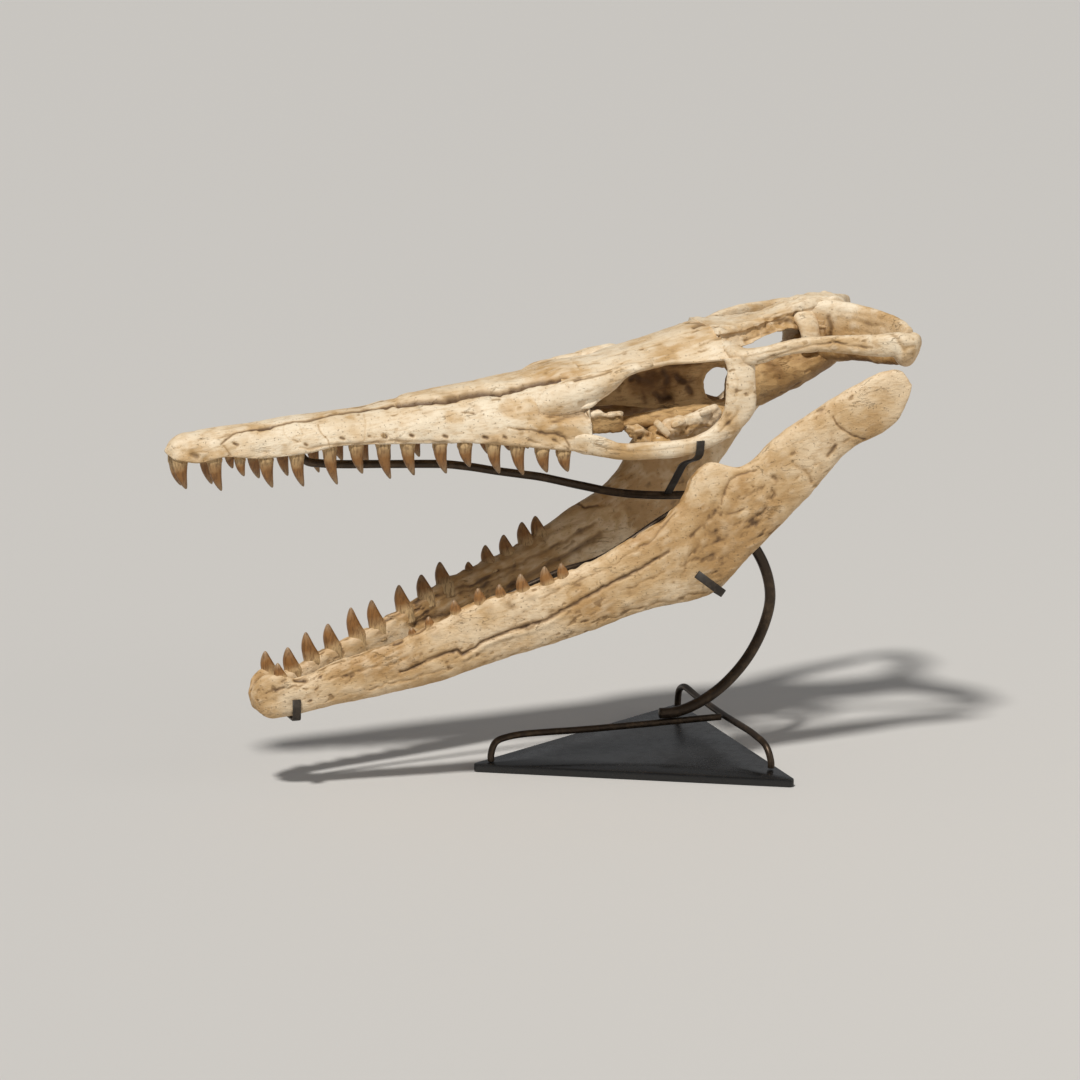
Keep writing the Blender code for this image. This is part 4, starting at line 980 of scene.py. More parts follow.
    wall_patches: tuple[Patch, ...] = (
        Patch((662, 386), (42, 18), 0.9, 0.45), Patch((618, 396), (18, 12), -0.8, -0.15),
        Patch((700, 375), (14, 20), -0.4, -0.35))
    broken_patches: tuple[Patch, ...] = (
        Patch((636, 434), (10, 14), 0.8, 0.55), Patch((700, 432), (36, 9), 1, 0.9),
        Patch((656, 436), (10, 14), 0.8, 0.8))
    wall_furrows: tuple[Furrow, ...] = (
        Furrow(((722, 401), (712, 400), (704, 393), (701, 383), (704, 373), (711, 367), (722, 366)),
               2.4, -1, 0, 0.4), Furrow(((632, 380), (636, 376), (640, 379)), 3, 1.4, 0.9, 1.5),
        Furrow(((642, 392), (645, 402)), 3.4, 0.8, 0.5, 1.5),
        Furrow(((664, 372), (668, 378), (666, 384)), 3.2, 1.4, 0.9, 1.5),
        Furrow(((678, 378), (684, 382)), 3, 1.4, 0.9, 1.5),
        Furrow(((656, 395), (662, 400), (670, 397)), 3.4, 1.2, 0.7, 1.5),
        Furrow(((688, 388), (690, 394)), 2.6, 1, 0.7, 1.5),
        Furrow(((648, 376), (654, 381)), 3.6, -1.1, 0, 1.5),
        Furrow(((672, 390), (680, 394)), 3.6, -1.1, 0, 1.5),
        Furrow(((693, 372), (690, 379)), 3.4, -0.9, 0, 1.5),
        Furrow(((630, 368), (660, 364), (700, 362)), 3, 0.8, 0.8, 1))

    def parietal_grid(self) -> Array:
        """Carry the parietal's section along x: each side a share of the half width and depth."""
        x = np.linspace(0.0405, 0.1490, 150)
        half, deep, top = profile(self.parietal_half)(x), profile(self.depth)(x), self.snout.top(x)
        side = hermite(self.section, np.linspace(0, 1, 70))
        y = half[:, None] * side[:, 0] + side[:, 1] * MM
        z = top[:, None] - deep[:, None] * side[:, 2] - side[:, 3] * MM
        y, z = np.hstack([y, -y[:, -2:0:-1]]), np.hstack([z, z[:, -2:0:-1]])
        return np.stack([np.repeat(x[:, None], y.shape[1], 1), y, z], axis=-1)

    def wall_grid(self) -> Array:
        """Stretch the median wall between its window and its outline, front face then back face."""
        roof = [(x, float(self.snout.top(x)) - self.wall_drop) for x in self.wall_top]
        loop = np.array([*self.wall_foot, *roof, self.wall_foot[0]])
        steps = np.concatenate([[0], np.cumsum(np.linalg.norm(np.diff(loop, axis=0), axis=1))])
        at = np.linspace(0, steps[-1], 260, endpoint=False)
        outer = np.column_stack([np.interp(at, steps, loop[:, k]) for k in (0, 1)])
        turn = np.arctan2(*(outer - self.hole).T[::-1])
        inner = self.hole + np.column_stack([np.cos(turn), np.sin(turn)]) * self.hole_reach
        share = np.linspace(0, 1, 110)[:, None, None]
        flat = inner + (outer - inner) * share**1.3
        rounding = np.sqrt(1 - np.clip(1 - share[:, :, 0] * 24, 0, 1)**2)
        edge = self.wall_half * rounding * np.ones(flat.shape[:2])
        front = np.stack([flat[..., 0], -edge, flat[..., 1]], -1)
        back = np.stack([flat[..., 0], edge, flat[..., 1]], -1)[::-1]
        return np.concatenate([front, back])

    def bone(self, name: str, finish: bpy.types.Material, parts: Sequence[tuple[Carver, Array]], *nodes: str,
             ring: bool = False) -> None:
        """Carve the grids of a bone and join them into one piece.

        Args:
            name: Name of the piece.
            finish: Its material.
            parts: A carver and a grid for each closed part.
            nodes: CAD nodes that it stands for.
            ring: Whether the grids' last rows join their first.
        """
        shell = Shell()
        for carver, grid in parts:
            shell.add(*carver.carve(grid), ring=ring)
        shell.build(name, finish, "skull_bone", *nodes)

    def chip(self, row: Sequence[float], s: int) -> Array:
        """Sweep one splinter: a bar between two points, thickest midway."""
        a, b, fat = np.array(row[:3]), np.array(row[3:6]), row[6]
        stations = [(*a, 1.1 * fat, 1.4 * fat), (*(a + b) / 2, 1.3 * fat, 1.6 * fat), (*b, fat, 1.3 * fat)]
        return sweep(mirrored(stations, s), 24, 16, square=0.6)

    def build_middle(self, finishes: Finishes) -> None:
        """Build the parietal with its arms, the braincase and the wall between the eye sockets."""
        rocky = Carver(Weather(lump=0.65, lump_size=0.0055, grain=0.20, pit=0.7, pitch=14),
                       self.flank_furrows,
                       (Patch((783, 324), (26, 15), 1.6, 0.5), Patch((745, 334), (26, 10), 0.3, 0.2)))
        plain = Carver(Weather(pitch=-8, swell=0.4), self.arm_furrows,
                       (Patch((852, 324), (24, 10), 0.2, -0.1),))
        rough = Carver(Weather(swell=0.9, lump=0.7, grain=0.18, pit=0.7, pitch=20))
        pitted = Carver(Weather(swell=0.7, lump=1, lump_size=0.008, grain=0.22, pit=1.8, pit_size=0.005,
                                pit_share=0.22), self.wall_furrows, self.wall_patches)
        parts = [(rocky, self.parietal_grid())]
        for s, _ in SIDES:
            parts.append((plain, sweep(mirrored(self.arm, s), 150, 80, square=0.75)))
            parts.append((plain, sweep(mirrored(self.flank_strut, s), 80, 56, FORWARD)))
        parts.append((rocky, sweep(self.rear_pillar, 60, 72, FORWARD, 0.8, 0.0008)))
        self.bone("parietal_table", finishes.skull, parts, "parietal")
        parts = [(rough, sweep(self.braincase, 150, 110)),
                 (rough, sweep(self.front_pillar, 40, 48, FORWARD, 0.8, 0.0008))]
        parts += [(rough, sweep(mirrored(self.wing, s), 60, 36, square=0.9)) for s, _ in SIDES]
        self.bone("braincase_bone", finishes.inner, parts, "braincase")
        self.bone("median_wall", finishes.inner, [(pitted, self.wall_grid())], "orbital_wall", ring=True)

    def build_side(self, finishes: Finishes, s: int, word: str) -> None:
        """Build the arcade, the cheek and the palate bones of one side.

        Args:
            finishes: The finishes.
            s: The side's sign of y.
            word: The side's name.
        """
        plain = Carver(Weather(swell=0.5, lump=0.6, lump_size=0.005, grain=0.22, pit=0.6, pitch=0), (),
                       (Patch((675, 412), (60, 16), 0.2, -0.35),))
        cheek = Carver(Weather(swell=0.5, lump=0.3, pitch=4), self.cheek_furrows,
                       (Patch((728, 425), (12, 14), 1, 0.2),))
        arcade = Carver(Weather(swell=0.45, lump=0.28, pitch=8), self.arcade_furrows,
                        (Patch((850, 345), (22, 10), 0.8, 0.3), Patch((908, 350), (9, 16), 1.2, 0.2)))
        broken = Carver(Weather(swell=0.6, lump=1, lump_size=0.0045, grain=0.22, pit=0.6), (),
                        self.broken_patches)
        splinter = Carver(Weather(swell=0.2, lump=0.25, lump_size=0.003))
        for name, stations, carver, rows, cols in (
                ("postorbital", self.postorbital, arcade, 140, 72),
                ("squamosal", self.squamosal, arcade, 140, 84), ("jugal", self.jugal, cheek, 230, 72)):
            grid = sweep(mirrored(stations, s), rows, cols, square=0.85)
            self.bone(f"{name}_bone_{word}", finishes.skull, [(carver, grid)], f"{name}_{word}")
        parts = [(plain, sweep(mirrored(self.pterygoid, s), 120, 48, square=0.9)),
                 (plain, sweep(mirrored(self.strut, s), 40, 36, square=0.9))]
        self.bone(f"pterygoid_bone_{word}", finishes.inner, parts, f"pterygoid_{word}")
        parts = [(broken, sweep(mirrored(self.ridge, s), 120, 48, square=0.9))]
        parts += [(splinter, self.chip(row, s)) for row in self.chips]
        parts.append((broken, sweep(mirrored(self.shelf, s), 80, 32, square=0.7)))
        self.bone(f"broken_ridge_{word}", finishes.skull, parts)
        parts = [(plain, sweep(mirrored(self.palatine, s), 80, 60, square=0.6))]
        self.bone(f"palatine_plate_{word}", finishes.inner, parts, f"palatine_{word}")

    def build(self, finishes: Finishes) -> None:
        """Build every bone behind the snout."""
        self.build_middle(finishes)
        for s, word in SIDES:
            self.build_side(finishes, s, word)


@dataclass
class LowerJaw:
    """Both sides of the lower jaw: an upright oval section between two edges, thickened by x."""

    lower: Line = mm((-302.5, 69), (-299, 60.5), (-292, 55.5), (-280, 56), (-250, 62.5), (-201, 71.5),
        (-177, 76.5), (-145, 87), (-81, 106), (-17, 126.5), (15, 132), (26, 137), (49, 161), (91, 206),
        (112, 230.5), (123, 240), (144, 250.5), (152, 258), (159, 272), (162, 282))
    upper: Line = mm((-302.5, 75), (-299, 81.5), (-293, 86), (-284, 86.5), (-271, 84), (-243, 95),
        (-201, 109), (-145, 134), (-116, 142), (-81, 153), (-39, 175), (-16, 188), (1, 206), (9, 222),
        (21, 231), (39, 227), (48, 229), (67, 247), (89, 263), (145, 294.5), (154, 294), (162, 286))
    out: Line = mm((-302.5, 5), (-299, 9.2), (-292, 13.5), (-282, 17.3), (-266, 21.2), (-200, 34),
        (-100, 53), (162, 102.7))
    thick: Line = mm((-302.5, 3.5), (-299, 7.2), (-292, 10.6), (-282, 12.6), (-200, 14), (-60, 16),
        (20, 19), (80, 16), (120, 13), (162, 8))
    far_lift: Line = mm((-302.5, 0), (-140, 0), (-100, 2.2), (-40, 3.2), (4, 0), (44, 0), (66, -8),
        (83, -11.8), (100, -9.5), (140, -8), (162, -3))
    rows: int = 560
    cols: int = 150
    furrows: tuple[Furrow, ...] = (
        Furrow(((400, 672), (415, 667), (428, 659), (456, 650), (463, 654), (487, 640), (511, 630),
               (524, 627), (545, 620), (566, 608), (587, 597), (607, 585), (642, 568), (669, 551)),
               1.7, 1.5, 1, 1.2),
        Furrow(((463, 659), (487, 645), (511, 635), (530, 632), (566, 613)), 2.4, -0.9, 0, 1),
        Furrow(((528, 622), (534, 626), (528, 629), (521, 626), (528, 622)), 1.4, -0.9, 0.5, 0.3),
        Furrow(((597, 624), (625, 613), (649, 606), (683, 598)), 1.3, 0.5, 0.5, 1.6),
        Furrow(((540, 600), (575, 582), (610, 566), (640, 548)), 1.2, 0.4, 0.4, 1.8),
        Furrow(((640, 548), (656, 536), (668, 520), (676, 512)), 1.5, 0.7, 0.6, 1.5),
        Furrow(((755, 470), (742, 473), (730, 480), (726, 490), (722, 504), (712, 517), (700, 527),
               (690, 538)), 1.5, 0.8, 0.7, 1.3),
        Furrow(((752, 468), (740, 474), (724, 492), (716, 506)), 4, 0.8, 0.1),
        Furrow(((773, 477), (777, 479)), 2.6, 1.8, 0.7, 0.8),
        Furrow(((772, 490), (776, 496), (768, 499)), 2, 1.5, 0.7, 0.8),
        Furrow(((766, 508), (763, 513), (758, 516)), 2.4, 1.9, 0.75, 0.8),
        Furrow(((726, 517), (736, 512), (744, 508)), 1.6, 1, 0.8, 1.6),
        Furrow(((706, 536), (722, 528), (738, 524), (752, 520)), 1.6, 0.9, 0.7, 2.2),
        Furrow(((690, 556), (708, 546), (728, 538)), 1.5, 0.8, 0.7, 2),
        Furrow(((680, 566), (700, 560), (722, 552)), 1.4, 0.7, 0.6, 2),
        Furrow(((745, 528), (760, 520), (772, 508)), 1.6, 0.8, 0.6, 1.8),
        Furrow(((735, 500), (750, 494), (764, 486)), 1.4, 0.7, 0.6, 2),
        Furrow(((700, 545), (690, 556), (684, 570)), 1.3, 0.6, 0.6, 1.5),
        Furrow(((795, 465), (806, 470), (812, 482)), 2, 0.7, 0.5),
        Furrow(((836, 446), (828, 456)), 2, 0.8, 0.7, 0.8),
        Furrow(((833, 417), (838, 425), (845, 431), (853, 436), (866, 440)), 1.3, 0.9, 0.8, 0.8),
        Furrow(((712, 592), (722, 590), (730, 582)), 4.5, 1.2, 0.2),
        Furrow(((672, 601), (690, 594), (708, 592)), 1.3, 0.5, 0.5, 1.5),
        Furrow(((296, 680), (304, 680)), 3, 1.7, 1, 0.6),
        Furrow(((394, 643), (401, 641)), 2.6, 1.6, 1, 0.6),
        Furrow(((318, 669), (330, 664), (345, 661)), 1.5, 0.8, 0.7, 1.4),
        Furrow(((350, 655), (362, 652), (370, 648)), 1.6, 1, 0.8, 1.2),
        Furrow(((412, 636), (425, 628)), 1.6, 0.9, 0.8, 1),
        Furrow(((445, 612), (470, 604), (492, 596)), 1.4, 0.6, 0.7, 1.4),
        Furrow(((330, 680), (360, 672), (395, 662)), 1.4, 0.6, 0.5, 2),
        Furrow(((370, 690), (410, 680), (450, 668)), 1.2, 0.5, 0.45, 2.2),
        Furrow(((470, 668), (520, 652), (580, 632)), 1.2, 0.4, 0.4, 2.2),
        Furrow(((275, 690), (284, 688)), 1.6, 0.8, 0.8, 0.6),
        Furrow(((560, 570), (585, 556), (612, 541)), 1.4, 0.6, 0.6, 1.6),
        Furrow(((620, 590), (640, 584), (664, 572)), 1.3, 0.5, 0.5, 1.8),
        Furrow(((300, 655), (345, 634), (395, 618), (414, 601), (476, 583), (528, 559), (566, 541),
               (596, 522)), 2.6, 1.1, 0.6, 1.6, Face.INNER),
        Furrow(((414, 592), (476, 574), (528, 549), (580, 522), (610, 505)), 3, -1.3, 0, 1.4, Face.INNER),
        Furrow(((414, 622), (456, 613), (490, 599), (531, 575), (566, 556), (600, 535)),
               4, 2.2, 0.75, 1.4, Face.INNER),
        Furrow(((570, 500), (585, 507), (598, 505)), 2, 1.2, 0.9, 1.2, Face.INNER),
        Furrow(((440, 600), (480, 588), (520, 568)), 1.3, 0.6, 0.6, 1.8, Face.INNER),
        Furrow(((600, 470), (620, 500), (636, 530)), 5, 1.2, 0.2, 1.5, Face.INNER))
    patches: tuple[Patch, ...] = (Patch((745, 520), (48, 44), 1, 0.25), Patch((700, 560), (40, 28), 1, 0.2),
        Patch((360, 660), (80, 22), 1.1, 0.15), Patch((275, 690), (30, 20), 0.5, 0),
        Patch((725, 480), (24, 18), -0.5, 0.15), Patch((870, 405), (36, 24), -0.35, 0),
        Patch((600, 600), (90, 20), 0.5, 0.15), Patch((480, 590), (120, 60), 1, 0.85, Face.INNER),
        Patch((650, 480), (70, 50), 0.9, 1, Face.INNER))

    def __post_init__(self) -> None:
        """Turn the lines into functions of x."""
        lines = (self.lower, self.upper, self.out, self.thick, self.far_lift)
        self.low, self.high, self.reach, self.wide, self.lift = (profile(line) for line in lines)

    def edge(self, x: Array, s: int) -> Array:
        """Height of the tooth-bearing edge."""
        return self.high(x) + (self.lift(x) if s > 0 else 0.0)

    def grid(self, s: int) -> Array:
        """Carry the section along x: cosine across and sine upright, each to a power below 1."""
        x = np.concatenate([np.linspace(-0.3025, -0.288, 30), np.linspace(-0.2873, 0.150, self.rows),
                            np.linspace(0.1507, 0.162, 26)])
        low, high = self.low(x), self.edge(x, s)
        near_end = np.minimum(x + 0.3028, 0.1625 - x) / 0.004
        grow = np.sqrt(1 - (1 - np.clip(near_end, 0.02, 1))**2)
        wide = self.wide(x)
        angle = np.linspace(0, 2 * np.pi, self.cols, endpoint=False)
        c = np.sign(np.cos(angle)) * np.abs(np.cos(angle))**0.75
        up = np.sign(np.sin(angle)) * np.abs(np.sin(angle))**0.85
        y = s * (self.reach(x) - wide / 2)[:, None] + (wide * grow / 2)[:, None] * c
        z = ((low + high) / 2)[:, None] + ((high - low) * grow / 2)[:, None] * up
        return np.stack([np.repeat(x[:, None], self.cols, 1), y, z], axis=-1)

    def build(self, finishes: Finishes, sockets: tuple[Furrow, ...]) -> None:
        """Carve both sides and dress them."""
        carver = Carver(Weather(swell=0.55, lump=0.30, grain=0.14, pitch=25.0, pit=0.5, pit_share=0.45),
                        self.furrows + sockets, self.patches)
        for s, word in SIDES:
            shell = Shell().add(*carver.carve(self.grid(s)))
            shell.build(f"jaw_ramus_{word}", finishes.jaw, "jaw_bone", f"dentary_{word}", f"rear_jaw_{word}",
                        f"coronoid_{word}", f"articular_{word}")


@dataclass
class Teeth:
    """All four tooth rows: curved crowns on swollen roots."""

    snout: Snout
    jaw: LowerJaw
    upper: Line = mm((-349, 21), (-325, 24), (-309, 14), (-289, 22), (-267, 24), (-243, 28), (-225, 22),
        (-205, 26), (-188, 24), (-165, 23), (-148, 18), (-127, 22), (-110, 22), (-93, 18), (-78, 16))
    near: Line = mm((-285, 10), (-191, 6), (-179, 8), (-161, 11), (-144, 12), (-129, 10), (-114, 13),
        (-97, 13), (-85, 11))
    far: Line = mm((-288, 14), (-270, 17), (-255.5, 21), (-238, 18), (-219.5, 22), (-203, 20), (-181, 19),
        (-163, 16), (-148, 17), (-125, 7), (-111, 13), (-96, 14), (-81, 16), (-70, 14))
    radius: float = 0.0043
    lower_radius: float = 0.0050
    collar: float = 0.0030
    bow: float = 0.06
    lean: float = 0.22
    upper_lean: float = 0.18
    slim_radius: float = 0.0032
    girth: Line = ((-0.45, 0.95), (-0.20, 1.16), (-0.02, 1.24), (0.10, 1.12), (0.28, 1.01), (0.50, 0.84),
                   (0.72, 0.60), (0.88, 0.37), (0.97, 0.18), (1.0, 0.015))
    rows: int = 34
    cols: int = 20

    def crown(self, base: Sequence[float], tip: Sequence[float], radius: float, inward: float,
              root: float) -> tuple[Array, dict[str, Array]]:
        """Carry a round section from root to tip along a bowed axis.

        Args:
            base: Middle of the crown's base.
            tip: Its point.
            radius: Radius at the base.
            inward: How far the root leans to the mid-plane, in metres.
            root: Length of the root, as a share of the crown.

        Returns:
            The grid and its height field.
        """
        base, tip = np.array(base, float), np.array(tip, float)
        axis = tip - base
        length = float(np.linalg.norm(axis))
        axis /= length
        t = np.linspace(-root, 1.0, self.rows)
        t = np.where(t > 0, 1 - (1 - np.clip(t, 0, 1))**1.25, t)
        girth = profile(self.girth)(t) * radius
        side = np.cross(axis, [0.0, 1.0, 0.0])
        side /= np.linalg.norm(side)
        other = np.cross(axis, side)
        shift = -self.bow * length * np.sin(np.pi * np.clip(t, 0, 1))
        centre = base + np.outer(t * length, axis) + np.outer(shift, [1.0, 0.0, 0.0])
        centre[:, 1] -= math.copysign(inward, base[1]) * smooth(-t, -0.1, root)
        angle = np.linspace(0, 2 * np.pi, self.cols, endpoint=False)
        keel = 1 + 0.05 * np.cos(2 * angle)
        ring = side * np.cos(angle)[:, None] + other * np.sin(angle)[:, None]
        grid = centre[:, None] + (girth[:, None] * keel)[..., None] * ring
        rough = RELIEF.fractal(grid / 0.004 + 70.0, 2) * smooth(-t, -0.35, 0.1)[:, None]
        grid = grid + ring * (0.35 * MM * rough)[..., None]
        return grid, {"crown": np.repeat(t[:, None], self.cols, 1)}

    def sockets(self) -> tuple[Furrow, ...]:
        """Raise the lip's bone round each upper tooth's base, where the camera sees the base."""
        tips, lengths = np.transpose(self.upper)
        x = tips - self.upper_lean * lengths
        u, v = VIEW.pixels(np.column_stack([x, -self.snout.half(x), self.snout.lip(x)]))
        return tuple(Furrow(((a - 3, b - 2), (a + 3, b - 2)), 5, -1.5, 0.25, 1.4) for a, b in zip(u, v))

    def lower_sockets(self) -> tuple[Furrow, ...]:
        """Raise and stain the jaw's bone round each lower tooth: near ones outside, far ones inside."""
        found = []
        for row, face, high in ((self.near, Face.OUTER, -0.001), (self.far, Face.INNER, -0.006)):
            tips, lengths = np.transpose(row)
            x = tips + self.lean * lengths
            y = self.jaw.reach(x) - (self.jaw.wide(x) if face is Face.INNER else 0.0)
            u, v = VIEW.pixels(np.column_stack([x, face.value * y, self.jaw.edge(x, face.value) + high]))
            found += [Furrow(((a - 2, b - 1), (a + 2, b + 3)), 5.5, -1.3, 0.32, 2, face)
                      for a, b in zip(u, v)]
        return tuple(found)

    def upper_row(self, s: int) -> Shell:
        """Hang the crowns of one upper row from the lip."""
        shell = Shell()
        for tip_x, length in self.upper:
            base_x = tip_x - self.upper_lean * length
            y, z = s * (float(self.snout.half(base_x)) - 0.0052), float(self.snout.lip(base_x))
            radius = self.radius if length > 0.015 else self.slim_radius
            base = (base_x, y, z - self.collar)
            shell.add(*self.crown(base, (tip_x, y + s * 0.001, z - length), radius, 0.0, 0.45))
        return shell

    def lower_row(self, s: int, row: Line) -> Shell:
        """Stand the crowns of one lower row on the jaw's edge, their roots on its inner face."""
        shell = Shell()
        for tip_x, length in row:
            base_x = tip_x + self.lean * length
            y = s * float(self.jaw.reach(base_x) - self.jaw.wide(base_x) * 0.5)
            z, tip_z = (float(self.jaw.edge(x, s)) - 0.001 for x in (base_x, tip_x))
            radius = min(self.lower_radius, 0.22 * length + 0.0015)
            shell.add(*self.crown((base_x, y, z), (tip_x, y, tip_z + length), radius, 0.003, 0.60))
        return shell

    def build(self, finishes: Finishes) -> None:
        """Build the four rows."""
        for s, word in SIDES:
            self.upper_row(s).build(f"upper_teeth_{word}", finishes.tooth, "skull_bone")
        for (s, word), row in zip(SIDES, (self.near, self.far)):
            self.lower_row(s, row).build(f"lower_teeth_{word}", finishes.tooth, "jaw_bone")


@dataclass
class Mount:
    """The black base plate, the bent rods welded on it and the straps that hold the bones."""

    side: float = 0.238
    thick: float = 0.006
    corner: float = 0.003
    rods: tuple[tuple[str, float, Line], ...] = (
        ("long_rod", 0.0025, mm((-121.5, 0, 6.2), (-121.5, 0, 12), (-118, 0, 20.5), (-108, 0, 24),
            (-40, 0, 24.3), (20, 0, 24.7), (57, 0, 25))),
        ("cross_rod", 0.0025, mm((63, -84, 6.2), (63, -84, 11), (62, -78, 20.5), (60.5, -58, 25),
            (60, 0, 25.2), (60, 60, 26.2), (60, 86, 27), (60, 96, 22), (60, 99, 12), (60, 99, 6.2))),
        ("main_rod", 0.004, mm((8, 0, 31.5), (20, 0, 31.5), (34, 0, 35), (56, 0, 47), (77, 0, 68),
            (90, 0, 92), (94.5, 0, 113), (90, 0, 135), (77, 0, 157), (57, 0, 176.5), (38, 0, 188.5))),
        ("upper_rod", 0.003, mm((34.5, 0, 193.2), (8, 0, 194.5), (-23, 0, 198.5), (-53, 0, 206),
            (-84, 0, 214.5), (-114.5, 0, 220.5), (-151, 0, 228), (-200, 0, 231.8), (-246, 0, 235.2),
            (-259, 0, 238), (-264, 0, 245), (-264.5, 0, 253))),
        ("jaw_rod", 0.0025, mm((31, 0, 188), (8, 0, 176), (-23, 0, 158), (-40, 0, 150), (-70, 0, 143),
            (-150, 0, 112), (-240, 0, 76), (-276, 0, 58))),
        ("jaw_post", 0.0025, mm((26.5, 0, 137.5), (26.5, 0, 161), (26.5, 0, 185))))
    straps: tuple[tuple[str, Line, Triple, float], ...] = (
        ("jaw_clip_front", mm((-274, -20.8, 70), (-274, -20.8, 55), (-274, 20.8, 55),
            (-274, 20.8, 70)), (1.0, 0.0, 0.0), 0.0028),
        ("jaw_clip_rear", mm((7, -79, 153), (27.5, -79, 137), (27.5, 79, 137),
            (7, 79, 153)), (0.62, 0.0, 0.78), 0.0028),
        ("cheek_clip", mm((13, -3, 196.5), (9.8, -28, 212.7), (9, -46, 227.5), (15, -62.2, 233.5),
            (15.5, -62.4, 246)), (1.0, 0.0, 0.0), 0.0066))
    strap_width: float = 0.006
    strap_thick: float = 0.0016

    def plate(self) -> Array:
        """Round the triangle's corners by arcs and stack its outline, drawn in at the edges."""
        reach = self.side / math.sqrt(3.0) - 2 * self.corner
        outline = []
        for corner in range(3):
            middle = math.pi + corner * 2 * math.pi / 3
            angle = middle + np.linspace(-math.pi / 3, math.pi / 3, 13)
            outline.append(np.column_stack([reach * math.cos(middle) + self.corner * np.cos(angle),
                                            reach * math.sin(middle) + self.corner * np.sin(angle)]))
        outline = np.vstack(outline)
        top = self.thick
        levels = ((0.99, 0.0), (0.998, 0.0003), (1.0, 0.0009), (1.0, top - 0.0007), (0.9975, top - 0.0002),
                  (0.992, top), (0.6, top), (0.2, top))
        return np.array([np.column_stack([outline * size, np.full(len(outline), z)]) for size, z in levels])

    def bent(self, corners: Line, bend: float) -> Array:
        """Run straight between corners and round each by a parabola of the bend's length."""
        points = np.array(corners, float)
        path = [points[:1]]
        for before, corner, after in zip(points, points[1:], points[2:]):
            a = corner + (before - corner) / np.linalg.norm(before - corner) * bend
            b = corner + (after - corner) / np.linalg.norm(after - corner) * bend
            t = np.linspace(0, 1, 9)[:, None]
            path.append((1 - t)**2 * a + 2 * t * (1 - t) * corner + t**2 * b)
        return np.vstack([*path, points[-1:]])

    def strap(self, corners: Line, across: Sequence[float], bend: float) -> Array:
        """Carry a flat section with rounded corners along the bent path, its width along across."""
        path = self.bent(corners, bend)
        ahead = np.gradient(path, axis=0)
        ahead /= np.linalg.norm(ahead, axis=1, keepdims=True)
        across = np.array(across) / np.linalg.norm(across)
        lift = np.cross(ahead, across)
        lift /= np.linalg.norm(lift, axis=1, keepdims=True)
        angle = np.linspace(0, 2 * np.pi, 28, endpoint=False)
        c = np.sign(np.cos(angle)) * np.abs(np.cos(angle))**0.22 * self.strap_width / 2
        s = np.sign(np.sin(angle)) * np.abs(np.sin(angle))**0.40 * self.strap_thick / 2
        return path[:, None] + across * c[:, None] + lift[:, None] * s[:, None]

    def build(self, finishes: Finishes) -> None:
        """Build the plate, the rods and the straps."""
        plate = Shell().add(self.plate()).build("base_plate", finishes.base, "base_plate", "stand_base")
        plate.data.set_sharp_from_angle(angle=math.radians(40))
        for name, radius, stations in self.rods:
            up = FORWARD if name in ("cross_rod", "jaw_post") else (0, 1, 0)
            grid = sweep([(*p, radius, radius) for p in stations], 160, 22, up, blunt=0.0008)
            grid = grid + (0.08 * MM * RELIEF.at(grid / 0.012))[..., None]
            Shell().add(grid).build(f"bent_{name}", finishes.rod, "bronze_rod", f"stand_{name}")
        for name, corners, across, bend in self.straps:
            shell = Shell().add(self.strap(corners, across, bend))
            shell.build(f"strap_{name}", finishes.clip, "dark_clip", f"stand_{name}")


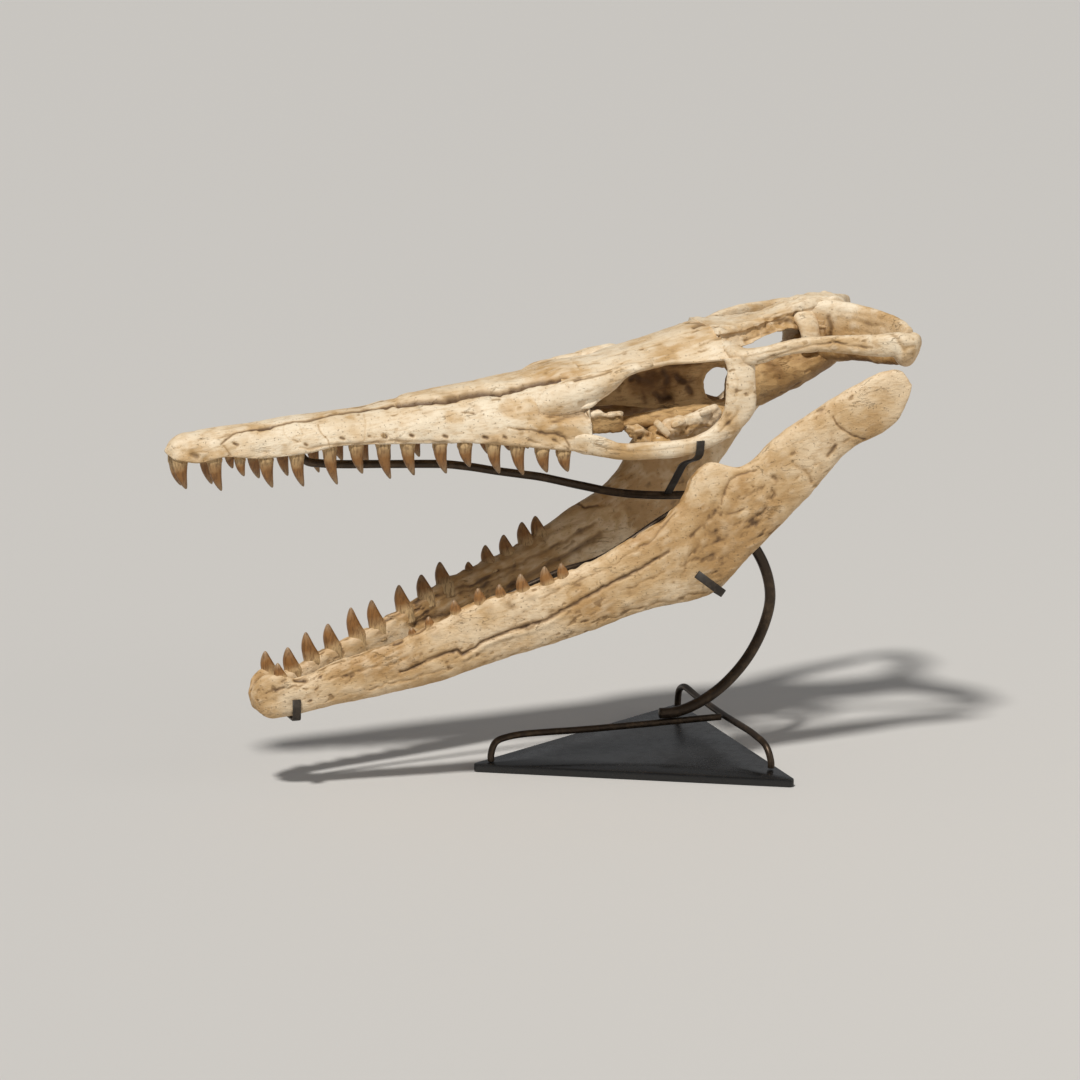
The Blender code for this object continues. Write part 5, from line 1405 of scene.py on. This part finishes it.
@dataclass
class Studio:
    """Pale floor, soft lights and the photograph's camera."""

    floor_tone: Triple = (0.60, 0.59, 0.575)
    floor_reach: float = 40.0
    floor_gloss: float = 0.7
    sun_from: Triple = (-0.62, -0.72, 1.50)
    sun_power: float = 3.0
    sun_spread: float = 6.0
    sun_colour: Triple = (1.0, 0.97, 0.92)
    fill_from: Triple = (1.4, -1.2, 0.7)
    fill_power: float = 5.0
    fill_size: float = 1.2
    fill_colour: Triple = (1.0, 0.92, 0.80)
    sky: tuple[float, float, float, float] = (0.86, 0.87, 0.89, 1.0)
    sky_power: float = 0.24

    def build(self) -> None:
        """Make the floor, the lights, the sky and the camera."""
        mesh = bpy.data.meshes.new("floor")
        r = self.floor_reach
        mesh.from_pydata([(-r, -r, 0), (r, -r, 0), (r, r, 0), (-r, r, 0)], [], [(0, 1, 2, 3)])
        floor = bpy.data.objects.new("floor", mesh)
        bpy.context.scene.collection.objects.link(floor)
        material = bpy.data.materials.new("pale_floor")
        material.use_nodes = True
        shader = material.node_tree.nodes["Principled BSDF"].inputs
        shader["Base Color"].default_value = (*self.floor_tone, 1.0)
        shader["Roughness"].default_value = self.floor_gloss
        mesh.materials.append(material)
        aim = Vector(VIEW.target)
        for kind, place, power, colour in (("SUN", self.sun_from, self.sun_power, self.sun_colour),
                                           ("AREA", self.fill_from, self.fill_power, self.fill_colour)):
            data = bpy.data.lights.new(kind.lower(), kind)
            data.energy, data.color = power, colour
            lamp = bpy.data.objects.new(kind.lower(), data)
            lamp.location = aim + Vector(place)
            lamp.rotation_euler = (-Vector(place)).to_track_quat("-Z", "Y").to_euler()
            bpy.context.scene.collection.objects.link(lamp)
        bpy.data.lights["sun"].angle = math.radians(self.sun_spread)
        bpy.data.lights["area"].size = self.fill_size
        world = bpy.data.worlds.new("studio")
        world.use_nodes = True
        world.node_tree.nodes["Background"].inputs[0].default_value = self.sky
        world.node_tree.nodes["Background"].inputs[1].default_value = self.sky_power
        bpy.context.scene.world = world
        bpy.context.scene.view_settings.view_transform = "Standard"
        VIEW.place()


def main() -> None:
    """Build the studio and every sub-assembly in order, and note the sizes."""
    logging.basicConfig(level=logging.INFO, format="%(name)s %(message)s")
    Studio().build()
    finishes = Finishes()
    snout, jaw = Snout(), LowerJaw()
    teeth = Teeth(snout, jaw)
    snout.build(finishes, teeth.sockets())
    Roof(snout).build(finishes)
    RearSkull(snout).build(finishes)
    jaw.build(finishes, teeth.lower_sockets())
    teeth.build(finishes)
    Mount().build(finishes)


if __name__ == "__main__":
    main()
